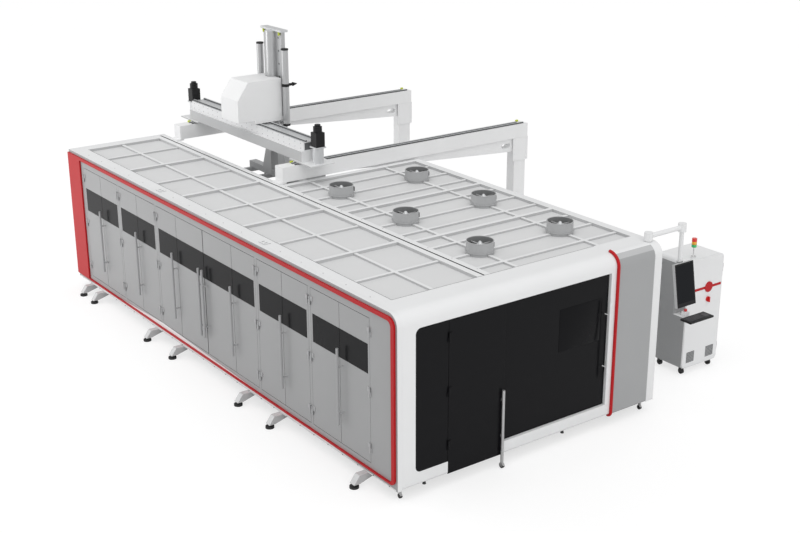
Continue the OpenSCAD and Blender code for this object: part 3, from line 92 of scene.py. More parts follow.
@dataclass(frozen=True)
class Finish:
    """One surface finish and how its material is made."""

    name: str
    slot: str
    colour: tuple[float, float, float]
    roughness: float
    metallic: float = 0.0
    coat: float = 0.0
    grain: float = 0.04
    stretch: tuple[float, float, float] = (1.0, 1.0, 1.0)
    edge: float = 0.006
    specular: float = 0.5

    def material(self) -> bpy.types.Material:
        """Makes the material once and gives it back on every later call.

        Returns:
            The material that carries this finish.
        """
        known = bpy.data.materials.get(self.name)
        if known:
            return known
        made = bpy.data.materials.new(self.name)
        made.use_nodes = True
        tree = made.node_tree
        shader = tree.nodes["Principled BSDF"]
        shader.inputs["Metallic"].default_value = self.metallic
        shader.inputs["Coat Weight"].default_value = self.coat
        shader.inputs["Coat Roughness"].default_value = COAT_ROUGHNESS
        shader.inputs["Specular IOR Level"].default_value = self.specular
        self._colour(tree, shader)
        self._surface(tree, shader)
        return made

    def _place(self, tree: bpy.types.NodeTree) -> bpy.types.NodeSocket:
        """Adds the coordinates that the patterns use.

        Args:
            tree: The material's node tree.

        Returns:
            The socket that gives the stretched coordinates.
        """
        where = tree.nodes.new("ShaderNodeTexCoord")
        mapping = tree.nodes.new("ShaderNodeMapping")
        mapping.inputs["Scale"].default_value = self.stretch
        tree.links.new(where.outputs["Object"], mapping.inputs["Vector"])
        return mapping.outputs["Vector"]

    def _colour(self, tree: bpy.types.NodeTree, shader: bpy.types.Node) -> None:
        """Gives the base colour a faint cloudy variation.

        Args:
            tree: The material's node tree.
            shader: The surface shader.
        """
        cloud = tree.nodes.new("ShaderNodeTexNoise")
        cloud.inputs["Scale"].default_value = CLOUD_SCALE
        cloud.inputs["Detail"].default_value = CLOUD_DETAIL
        mix = tree.nodes.new("ShaderNodeMix")
        mix.data_type = "RGBA"
        low = [c * (1 - CLOUD_SHARE) for c in self.colour]
        high = [min(1.0, c * (1 + CLOUD_SHARE)) for c in self.colour]
        mix.inputs["A"].default_value = (*low, 1.0)
        mix.inputs["B"].default_value = (*high, 1.0)
        tree.links.new(self._place(tree), cloud.inputs["Vector"])
        tree.links.new(cloud.outputs["Fac"], mix.inputs["Factor"])
        tree.links.new(mix.outputs["Result"], shader.inputs["Base Color"])

    def _surface(self, tree: bpy.types.NodeTree, shader: bpy.types.Node) -> None:
        """Adds the fine grain, its uneven gloss and the softened edges.

        Args:
            tree: The material's node tree.
            shader: The surface shader.
        """
        grain = tree.nodes.new("ShaderNodeTexNoise")
        grain.inputs["Scale"].default_value = GRAIN_SCALE
        grain.inputs["Detail"].default_value = GRAIN_DETAIL
        gloss = tree.nodes.new("ShaderNodeMapRange")
        gloss.inputs["To Min"].default_value = max(GLOSS_LEAST, self.roughness - GLOSS_SPREAD)
        gloss.inputs["To Max"].default_value = min(1.0, self.roughness + GLOSS_SPREAD)
        bump = tree.nodes.new("ShaderNodeBump")
        bump.inputs["Strength"].default_value = self.grain
        bump.inputs["Distance"].default_value = GRAIN_DEPTH
        tree.links.new(self._place(tree), grain.inputs["Vector"])
        tree.links.new(grain.outputs["Fac"], gloss.inputs["Value"])
        tree.links.new(gloss.outputs["Result"], shader.inputs["Roughness"])
        tree.links.new(grain.outputs["Fac"], bump.inputs["Height"])
        if self.edge > 0:
            bevel = tree.nodes.new("ShaderNodeBevel")
            bevel.samples = EDGE_SAMPLES
            bevel.inputs["Radius"].default_value = self.edge
            tree.links.new(bevel.outputs["Normal"], bump.inputs["Normal"])
        tree.links.new(bump.outputs["Normal"], shader.inputs["Normal"])


class Look(Enum):
    """Every finish of the machine, and the colours of its painted shade and highlights."""

    # White paint, also used as the painted highlight on the grey corner panel's top.
    WHITE = Finish("white powder coat and painted fold highlight", "white_paint", (0.80, 0.805, 0.81), 0.42)
    LOADER = Finish("loader powder coat", "white_paint", (0.87, 0.873, 0.876), 0.42)
    ROOF_SHEET = Finish("roof sheet coat", "white_paint", (0.69, 0.693, 0.696), 0.48)
    DOOR = Finish("light grey door coat", "door_paint", (0.345, 0.348, 0.352), 0.40)
    HANDLE = Finish("handle coat", "door_paint", (0.36, 0.365, 0.37), 0.34)
    HINGE = Finish("hinge coat", "door_paint", (0.43, 0.435, 0.44), 0.40, edge=0.002)
    # Painted shadow in the gaps around the door bays and between the door leaves.
    GAP_SHADE = Finish("painted gap shadow", "door_paint", (0.10, 0.102, 0.104), 0.6, edge=0.0)
    # Painted shade on the upright sides of the roof bars, the outrigger brackets and the bridge's lower tube.
    SIDE_SHADE = Finish("painted side shade", "white_paint", (0.52, 0.524, 0.528), 0.5, edge=0.003)
    DUCT = Finish("duct coat", "bare_steel", (0.44, 0.445, 0.45), 0.40, edge=0.002)
    # Painted shade on the ducts' inner walls.
    SHADE = Finish("painted duct inner shade", "bare_steel", (0.24, 0.243, 0.246), 0.5, edge=0.002)
    # Painted highlight on the grey corner panel's fold, and the monitor's own grey.
    FOLD_HIGHLIGHT_AND_MONITOR_GREY = Finish("painted fold highlight and monitor grey", "grey_paint", (0.50, 0.505, 0.51), 0.36)
    BRACKET = Finish("bracket coat", "white_paint", (0.62, 0.624, 0.628), 0.46)
    GREY = Finish("grey panel coat", "grey_paint", (0.36, 0.365, 0.37), 0.42)
    SIDE_GREY = Finish("cabinet side coat", "grey_paint", (0.29, 0.294, 0.298), 0.46)
    FORK = Finish("fork coat", "dark_paint", (0.43, 0.435, 0.44), 0.44)
    # Dark grey paint, also used as painted shade in the roof's step lines and the bridge tube's hollow.
    DARK = Finish("dark grey coat and painted shade", "dark_paint", (0.115, 0.12, 0.125), 0.48)
    RED = Finish("red trim coat", "red_paint", (0.47, 0.006, 0.010), 0.40, specular=0.25)
    PANE = Finish(
        "dark glossy pane", "dark_pane", (0.007, 0.007, 0.008), 0.16, grain=0.004, edge=0.003, specular=0.1
    )
    WINDOW = Finish(
        "smoked window", "dark_pane", (0.006, 0.006, 0.007), 0.14, grain=0.003, edge=0.002, specular=0.08
    )
    SIDE_PANE = Finish(
        "side door pane", "dark_pane", (0.011, 0.011, 0.012), 0.2, grain=0.004, edge=0.002, specular=0.09
    )
    STEEL = Finish(
        "zinc plated steel",
        "bare_steel",
        (0.52, 0.52, 0.52),
        0.36,
        0.85,
        stretch=(1.0, 1.0, 18.0),
        edge=0.002,
    )
    # Dark steel for rails, bolts and holes, also used as painted shade in the roof frame's groove.
    DARK_STEEL_AND_GROOVE_SHADE = Finish("dark guide steel and painted groove shade", "bare_steel", (0.13, 0.135, 0.14), 0.38, 0.6, edge=0.002)
    ALUMINIUM = Finish("anodised aluminium", "bare_aluminium", (0.66, 0.67, 0.68), 0.36, 0.45, edge=0.003)
    COLUMN = Finish("drawn column metal", "bare_aluminium", (0.52, 0.525, 0.53), 0.30, 0.6, edge=0.003)
    CHROME = Finish("bright tube", "bare_aluminium", (0.78, 0.78, 0.78), 0.14, 1.0, grain=0.01, edge=0.0)
    CASTING = Finish(
        "black motor casting", "black_casting", (0.010, 0.010, 0.011), 0.42, edge=0.004, specular=0.3
    )
    RUBBER = Finish("black rubber", "black_rubber", (0.025, 0.025, 0.026), 0.70, edge=0.004)
    PLASTIC = Finish("black plastic", "black_plastic", (0.016, 0.016, 0.017), 0.46, edge=0.004, specular=0.2)
    SCREEN = Finish(
        "dark screen", "black_plastic", (0.006, 0.007, 0.009), 0.12, grain=0.002, edge=0.0, specular=0.12
    )
    KEY = Finish("key caps", "black_plastic", (0.055, 0.055, 0.06), 0.5, edge=0.001)
    STOP = Finish("red button", "red_plastic", (0.60, 0.012, 0.012), 0.28, coat=0.3, edge=0.003)
    BUFFER = Finish("yellow green buffer", "black_rubber", (0.55, 0.62, 0.05), 0.5, edge=0.003)
    LAMP_RED = Finish("red lens", "lamp_plastic", (0.75, 0.03, 0.02), 0.18, coat=0.5, edge=0.002)
    LAMP_AMBER = Finish("amber lens", "lamp_plastic", (0.85, 0.42, 0.03), 0.18, coat=0.5, edge=0.002)
    LAMP_GREEN = Finish("green lens", "lamp_plastic", (0.04, 0.50, 0.16), 0.18, coat=0.5, edge=0.002)

    def material(self) -> bpy.types.Material:
        """The material of this finish."""
        return self.value.material()


class Shape:
    """A mesh under construction, from points in machine coordinates."""

    def __init__(self) -> None:
        """Starts an empty mesh."""
        self.mesh = bmesh.new()

    def box(self, low: Point, high: Point, bevel: float = 0.0) -> "Shape":
        """Adds a box between two corners.

        Args:
            low: Its lowest corner.
            high: Its highest corner.
            bevel: Radius of its edges.

        Returns:
            This shape.
        """
        a, b = at(*low), at(*high)
        size = Matrix.Diagonal((*(b - a), 1.0))
        made = bmesh.ops.create_cube(self.mesh, size=1.0, matrix=Matrix.Translation((a + b) / 2) @ size)
        if bevel > 0:
            bmesh.ops.bevel(
                self.mesh,
                geom=list(dict.fromkeys(e for v in made["verts"] for e in v.link_edges)),
                offset=bevel,
                segments=BEVEL_STEPS,
                profile=BEVEL_PROFILE,
                affect="EDGES",
            )
        return self

    def rod(
        self, start: Point, end: Point, radius: float, tip: float | None = None, sides: int = 28
    ) -> "Shape":
        """Adds a round rod, or a cone where the far end has its own radius.

        Args:
            start: Middle of its first end.
            end: Middle of its last end.
            radius: Its radius at the first end.
            tip: Its radius at the last end.
            sides: Facets around it.

        Returns:
            This shape.
        """
        a, b = at(*start), at(*end)
        turn = (b - a).to_track_quat("Z", "Y").to_matrix().to_4x4()
        bmesh.ops.create_cone(
            self.mesh,
            cap_ends=True,
            segments=sides,
            radius1=radius,
            radius2=radius if tip is None else tip,
            depth=(b - a).length,
            matrix=Matrix.Translation((a + b) / 2) @ turn,
        )
        return self

    def tube(self, path: Sequence[Point], radius: float, sides: int) -> "Shape":
        """Adds a round bar that follows a path.

        Args:
            path: Points along its middle.
            radius: Its radius.
            sides: Facets around it.

        Returns:
            This shape.
        """
        points = [at(*p) for p in path]
        angles = [2 * math.pi * k / sides for k in range(sides)]
        rings: list[list[bmesh.types.BMVert]] = []
        side = (points[1] - points[0]).orthogonal().normalized()
        for i, p in enumerate(points):
            ahead = points[min(i + 1, len(points) - 1)] - points[max(i - 1, 0)]
            side = (side - ahead * (side.dot(ahead) / ahead.length_squared)).normalized()
            up = ahead.normalized().cross(side)
            ring = [p + radius * (side * math.cos(t) + up * math.sin(t)) for t in angles]
            rings.append([self.mesh.verts.new(place) for place in ring])
        for a, b in zip(rings, rings[1:]):
            for k in range(sides):
                self.mesh.faces.new((a[k], a[(k + 1) % sides], b[(k + 1) % sides], b[k]))
        self.mesh.faces.new(rings[0][::-1])
        self.mesh.faces.new(rings[-1])
        return self

    def turned(self, turn: Matrix) -> "Shape":
        """Moves everything that the shape holds by a matrix in the row frame."""
        bmesh.ops.transform(self.mesh, matrix=turn, verts=self.mesh.verts)
        return self

    def done(self, name: str, look: Look, body: str) -> None:
        """Makes the object and lets it ride on a body.

        Args:
            name: Name of the new piece.
            look: Its finish.
            body: The body that it moves with.
        """
        bmesh.ops.recalc_face_normals(self.mesh, faces=self.mesh.faces)
        data = bpy.data.meshes.new(name)
        self.mesh.to_mesh(data)
        self.mesh.free()
        data.materials.append(look.material())
        data.polygons.foreach_set("use_smooth", [True] * len(data.polygons))
        data.set_sharp_from_angle(angle=SMOOTH_ANGLE)
        made = bpy.data.objects.new(name, data)
        bpy.context.scene.collection.objects.link(made)
        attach(made, body)
        LOG.info("made %s", name)


def paint(node: bpy.types.Object, base: Look, rules: Iterable[tuple[Look, Test]] = ()) -> None:
    """Gives a solid its finishes, face by face.

    Args:
        node: The solid.
        base: The finish of every face that no rule takes.
        rules: Finishes, each with a test on a face's middle, in machine coordinates, and its normal.
    """
    data = node.data
    rules = list(rules)
    data.materials.clear()
    data.materials.append(base.material())
    for look, _ in rules:
        data.materials.append(look.material())
    picks = []
    for face in data.polygons:
        middle = Vector(face.center) + ORIGIN
        hits = (k + 1 for k, (_, test) in enumerate(rules) if test(middle, face.normal))
        picks.append(next(hits, 0))
    data.polygons.foreach_set("material_index", picks)
    data.update()
    LOG.info("painted %s", node.name)


@dataclass
class Enclosure:
    """The machine's skin: walls, trim, front, roof and feet."""

    nodes: dict[str, bpy.types.Object]
    length: float = 8.52
    height: float = 2.2
    base_z: float = 0.15
    sill_x: Span = (-0.0012, 0.0005)
    sill_z: Span = (0.151, 0.169)
    sill_inset: float = 0.03
    bolt_r: float = 0.007
    wall_bolt_pitch: float = 0.3
    wall_bolt_h: float = 0.005
    roof_bolt_x: Pair = (0.095, 1.57)
    roof_bolt_first: float = 0.62
    roof_bolt_pitch: float = 0.46
    roof_bolt_count: int = 17
    roof_bolt_h: float = 0.004
    groove_x: Span = (1.48, 1.53)
    groove_z: Span = (2.187, 2.1995)
    pocket_y: Pair = (2.86272, 5.6232)
    foot_x: Pair = (0.38, 2.43)
    hinge_x: float = -0.001
    back_x: float = 0.001
    rim_y: Span = (0.002, 8.515)
    rim_z: Span = (0.215, 2.15)
    bay_y: Span = (0.3, 8.2)
    bay_z: Span = (0.22, 2.1)
    white_highlight_rise: float = 0.93
    fold_highlight_rise: float = 0.62
    caster_x: float = 0.05
    caster_y: float = 0.35
    wheel_z: float = 0.036
    pad_z: float = 0.06

    def dress(self) -> None:
        """Paints the skin and adds its small pieces."""
        for name in ("front_fascia", "plain_walls"):
            paint(self.nodes[name], Look.WHITE)
        paint(
            self.nodes["roof_frame"],
            Look.WHITE,
            [
                # Painted shade on the faces of the groove in the roof's double beam.
                (Look.DARK_STEEL_AND_GROOVE_SHADE, lambda p, n: within(p.x, self.groove_x) and within(p.z, self.groove_z)),
                # Painted shade on the roof bars' upright sides.
                (Look.SIDE_SHADE, lambda p, n: abs(n.z) < FACING and p.z < self.height),
            ],
        )
        paint(self.nodes["base_frame"], Look.DARK)
        paint(self.nodes["roof_sheets"], Look.ROOF_SHEET)
        for name in ("side_trim", "corner_tube"):
            paint(self.nodes[name], Look.RED)
        # The grey corner panel's upward faces get a painted highlight: white on the flattest, lighter grey on
        # the fold.
        paint(
            self.nodes["corner_panel"],
            Look.GREY,
            [
                (Look.WHITE, lambda p, n: n.z > self.white_highlight_rise),
                (Look.FOLD_HIGHLIGHT_AND_MONITOR_GREY, lambda p, n: n.z > self.fold_highlight_rise),
            ],
        )
        # The brackets' faces along Y get painted shade.
        paint(
            self.nodes["outrigger_brackets"],
            Look.BRACKET,
            [(Look.SIDE_SHADE, lambda p, n: abs(n.y) > FACING)],
        )
        paint(self.nodes["levelling_feet"], Look.RUBBER, [(Look.STEEL, self.in_bright_foot)])
        paint(
            self.nodes["side_wall"],
            Look.DOOR,
            [
                (Look.HINGE, lambda p, n: p.x < self.hinge_x),
                # Painted shadow on the side faces of the door bays.
                (Look.GAP_SHADE, self.in_bay_edge),
                (Look.WHITE, self.in_rim),
            ],
        )
        self.add_sill_bolts()
        self.add_roof_bolts()
        self.add_roof_step_shade()
        self.add_corner_coat()
        self.add_pocket_marks()
        self.add_front_feet()

    def in_bright_foot(self, p: Vector, n: Vector) -> bool:
        """True for the casters' housings, and for studs that are not on the door side."""
        low = self.wheel_z if p.y < self.caster_y else self.pad_z
        return p.x > self.caster_x and p.z > low

    def in_bay_edge(self, p: Vector, n: Vector) -> bool:
        """True for the side faces around the door bays, which get painted gap shadow."""
        return abs(n.x) < EDGE_ON and within(p.y, self.bay_y) and within(p.z, self.bay_z)

    def in_rim(self, p: Vector, n: Vector) -> bool:
        """True for the white rim and the back of the door side's wall."""
        return p.x > self.back_x or not (within(p.y, self.rim_y) and within(p.z, self.rim_z))

    def add_sill_bolts(self) -> None:
        """Adds the dark bolts and the white edge along the door side's sill."""
        shape = Shape()
        count = int(self.length / self.wall_bolt_pitch)
        z = sum(self.sill_z) / 2
        for i in range(count):
            y = (i + 0.5) * self.length / count
            shape.rod((SUNK, y, z), (-self.wall_bolt_h, y, z), self.bolt_r, sides=HEX)
        shape.done("sill_bolts", Look.DARK_STEEL_AND_GROOVE_SHADE, "machine")
        low = (self.sill_x[0], self.sill_inset, self.sill_z[0])
        high = (self.sill_x[1], self.length - self.sill_inset, self.sill_z[1])
        Shape().box(low, high).done("sill_edge", Look.WHITE, "machine")

    def add_roof_bolts(self) -> None:
        """Adds pairs of bolts on the roof's long borders."""
        shape = Shape()
        low, high = self.height - SUNK, self.height + self.roof_bolt_h
        for i in range(self.roof_bolt_count):
            y = self.roof_bolt_first + i * self.roof_bolt_pitch
            for x in self.roof_bolt_x:
                shape.rod((x, y, low), (x, y, high), self.bolt_r, sides=HEX)
        shape.done("roof_bolts", Look.STEEL, "machine")

    def add_roof_step_shade(self) -> None:
        """Adds thin dark lines of painted shade along the step between the roof's borders and its sheets."""
        left, right, front, back = 0.229, 3.19, 0.414, 8.31
        half, sunk, proud = 0.003, 0.0005, 0.0004
        low, high = self.height - sunk, self.height + proud
        shape = Shape()
        shape.box((left - half, front, low), (left + half, back, high))
        shape.box((left, front - half, low), (right, front + half, high))
        shape.done("roof_step_shade_lines", Look.DARK, "machine")

    def add_pocket_marks(self) -> None:
        """Adds the dark outline and the two slots of each lifting pocket."""
        x, half_x, half_y, line = 0.1175, 0.0420, 0.0650, 0.004
        sunk, proud = 0.0005, 0.0008
        slot_half, slot_sunk, slot_proud = 0.006, 0.0055, 0.0066
        low, high = self.height - sunk, self.height + proud
        slot_low, slot_high = self.height + slot_sunk, self.height + slot_proud
        shape = Shape()
        for y in self.pocket_y:
            for side in (-1, 1):
                edge_x, edge_y = x + side * half_x, y + side * half_y
                shape.box((edge_x - line, y - half_y - line, low), (edge_x + line, y + half_y + line, high))
                shape.box((x - half_x, edge_y - line, low), (x + half_x, edge_y + line, high))
                slot = y + side * half_y / 2
                near, far = slot - slot_half, slot + slot_half
                shape.box((x - half_x / 2, near, slot_low), (x + half_x / 2, far, slot_high))
        shape.done("pocket_marks", Look.DARK, "machine")

    def add_front_feet(self) -> None:
        """Adds the two small dark feet below the front sill."""
        y, drop, top_r, low_r, sides = 0.03, 0.026, 0.016, 0.022, 16
        shape = Shape()
        for x in self.foot_x:
            shape.rod((x, y, self.base_z), (x, y, self.base_z - drop), top_r, low_r, sides)
        shape.done("front_feet", Look.RUBBER, "machine")

    def add_corner_coat(self) -> None:
        """Adds the thick red coat around the corner tube."""
        x, y, coat_r, sides = 3.1857, -0.013, 0.02, 20
        top_r, top_steps = 0.15, 8
        low_r, low_steps = 0.04, 6
        path: list[Point] = []
        for k in range(top_steps + 1):
            t = math.radians(90 - k * 90 / top_steps)
            reach = top_r - y
            path.append((x, top_r - reach * math.cos(t), self.height - top_r + reach * math.sin(t)))
        for k in range(low_steps + 1):
            t = math.radians(k * 90 / low_steps)
            reach = low_r - y
            path.append((x, low_r - reach * math.cos(t), self.base_z + low_r - reach * math.sin(t)))
        Shape().tube(path, coat_r, sides).done("corner_tube_coat", Look.RED, "machine")


class Side(Enum):
    """The side of a leaf on which it hangs."""

    LOW = -1
    HIGH = 1


@dataclass(frozen=True)
class LeafPlan:
    """One door leaf of the long side."""

    index: int
    low: float
    high: float
    side: Side
    folding: bool = False


@dataclass
class SideDoors:
    """The twelve door leaves of the long side."""

    nodes: dict[str, bpy.types.Object]
    handle_x: float = -0.03
    hinge_x: float = -0.001
    back_x: float = 0.0325
    pocket_x: Span = (0.001, 0.006)
    pocket_z: Span = (1.35, 1.72)
    pane_x: Span = (0.0006, 0.0038)
    pane_z: Span = (1.361, 1.709)
    pane_clear: float = 0.001
    pane_margin: float = 0.034
    gap: float = 0.0025
    fold_gap: float = 0.007
    plans: list[LeafPlan] = field(
        default_factory=lambda: [
            LeafPlan(1, 0.5, 1.0875, Side.LOW),
            LeafPlan(2, 1.0875, 1.675, Side.HIGH),
            LeafPlan(3, 1.725, 2.3, Side.LOW),
            LeafPlan(4, 2.3, 2.875, Side.HIGH),
            LeafPlan(5, 2.925, 3.5, Side.LOW),
            LeafPlan(6, 3.5, 4.25, Side.LOW, True),
            LeafPlan(7, 4.25, 5.0, Side.HIGH, True),
            LeafPlan(8, 5.0, 5.575, Side.HIGH),
            LeafPlan(9, 5.625, 6.2, Side.LOW),
            LeafPlan(10, 6.2, 6.775, Side.HIGH),
            LeafPlan(11, 6.825, 7.4125, Side.LOW),
            LeafPlan(12, 7.4125, 8.0, Side.HIGH),
        ]
    )

    def dress(self) -> None:
        """Paints every leaf and sets its dark pane in place."""
        rules: list[tuple[Look, Test]] = [
            (Look.HANDLE, lambda p, n: p.x < self.handle_x),
            (Look.HINGE, lambda p, n: p.x < self.hinge_x or p.x > self.back_x),
            # Painted shadow on the leaves' edge faces, in the gaps between leaves.
            (Look.GAP_SHADE, lambda p, n: abs(n.x) < EDGE_ON),
            (Look.SIDE_PANE, lambda p, n: within(p.x, self.pocket_x) and within(p.z, self.pocket_z)),
        ]
        for plan in self.plans:
            name = f"door_leaf_{plan.index}"
            paint(self.nodes[name], Look.DOOR, rules)
            self.add_pane(plan, name)

    def inset(self, folds: bool, hangs: bool) -> float:
        """How far a pane stays from one end of its leaf."""
        return (self.fold_gap if folds else self.gap) + (self.pane_margin if hangs else 0.0) + self.pane_clear

    def add_pane(self, plan: LeafPlan, body: str) -> None:
        """Adds the dark pane of one leaf.

        Args:
            plan: The leaf.
            body: The body that the pane moves with.
        """
        at_low, at_high = plan.side is Side.LOW, plan.side is Side.HIGH
        y0 = plan.low + self.inset(plan.folding and at_high, at_low and not plan.folding)
        y1 = plan.high - self.inset(plan.folding and at_low, at_high and not plan.folding)
        (x0, x1), (z0, z1) = self.pane_x, self.pane_z
        Shape().box((x0, y0, z0), (x1, y1, z1)).done(f"leaf_pane_{plan.index}", Look.SIDE_PANE, body)


@dataclass
class FrontDoors:
    """The dark front: fixed pane, swing door and sliding door."""

    nodes: dict[str, bpy.types.Object]
    slide_y: float = 0.035
    pull_y: float = 0.0345
    window_x: Span = (2.32, 2.97)
    window_z: Span = (1.18, 1.71)
    window_t: float = 0.003
    window_edge: float = 0.001
    wheel_y: float = 0.003
    wheel_z: float = 0.036
    tube_x: float = 1.2
    tube_y: float = 0.0035

    def dress(self) -> None:
        """Paints the panes and adds the window of the sliding door."""
        paint(self.nodes["fixed_pane"], Look.PANE)
        paint(
            self.nodes["swing_door"],
            Look.PANE,
            [
                (Look.RUBBER, lambda p, n: p.z < self.wheel_z and p.y < self.wheel_y),
                (Look.STEEL, lambda p, n: p.y < self.tube_y and p.x > self.tube_x),
            ],
        )
        paint(self.nodes["sliding_door"], Look.PANE, [(Look.WHITE, lambda p, n: p.y < self.pull_y)])
        (x0, x1), (z0, z1) = self.window_x, self.window_z
        shape = Shape().box((x0, self.slide_y - self.window_t, z0), (x1, self.slide_y, z1), self.window_edge)
        shape.done("slider_window", Look.WINDOW, "sliding_door")


@dataclass
class RoofFans:
    """The exhaust fans on the roof."""

    nodes: dict[str, bpy.types.Object]
    xs: Pair = (2.01106, 3.28402)
    ys: tuple[float, float, float] = (1.10967, 2.580675, 4.04295)
    top_z: float = 2.322
    ring_r: float = 0.165
    inner_wall_share: float = 0.8
    gland_z: Span = (2.208, 2.268)
    gland_half: float = 0.03
    gland_reach: float = 0.2
    gland_edge: float = 0.004
    hub_z: Span = (2.275, 2.314)
    hub_r: Pair = (0.042, 0.012)
    hub_sides: int = 20
    rim_inset: float = 0.003
    rim_r: float = 0.006
    rim_sides: int = 8
    rim_steps: int = 40

    def dress(self) -> None:
        """Paints the ducts and impellers, and adds rims, hub caps and cable glands."""
        for name in ("fan_ducts_left", "fan_ducts_right"):
            # The ducts' inner walls get painted shade.
            paint(self.nodes[name], Look.DUCT, [(Look.SHADE, self.in_inner_shade)])
        for i in range(len(self.xs) * len(self.ys)):
            paint(self.nodes[f"fan_{i + 1}"], Look.DARK)
        glands, rims, hubs = Shape(), Shape(), Shape()
        for x in self.xs:
            for y in self.ys:
                low = (x + self.ring_r, y - self.gland_half, self.gland_z[0])
                high = (x + self.gland_reach, y + self.gland_half, self.gland_z[1])
                glands.box(low, high, self.gland_edge)
                self.add_rim(rims, x, y)
                hubs.rod((x, y, self.hub_z[0]), (x, y, self.hub_z[1]), *self.hub_r, self.hub_sides)
        glands.done("fan_glands", Look.PLASTIC, "machine")
        rims.done("fan_rims", Look.DUCT, "machine")
        hubs.done("fan_hubs", Look.ALUMINIUM, "machine")

    def in_inner_shade(self, p: Vector, n: Vector) -> bool:
        """Tells whether a face is part of a duct's inner wall, which gets painted shade.

        Args:
            p: The face's middle.
            n: Its normal.

        Returns:
            True where the face looks at the fan's axis.
        """
        x = min(self.xs, key=lambda v: abs(v - p.x))
        y = min(self.ys, key=lambda v: abs(v - p.y))
        out = Vector((p.x - x, p.y - y, 0.0))
        return out.length > self.inner_wall_share * self.ring_r and n.dot(out) < -FACING * out.length

    def add_rim(self, shape: Shape, x: float, y: float) -> None:
        """Adds the rolled rim of one duct.

        Args:
            shape: The shape that takes it.
            x: Place of the fan.
            y: Place of the fan.
        """
        r = self.ring_r - self.rim_inset
        angles = [2 * math.pi * k / self.rim_steps for k in range(self.rim_steps + 1)]
        path = [(x + r * math.cos(t), y + r * math.sin(t), self.top_z) for t in angles]
        shape.tube(path, self.rim_r, self.rim_sides)


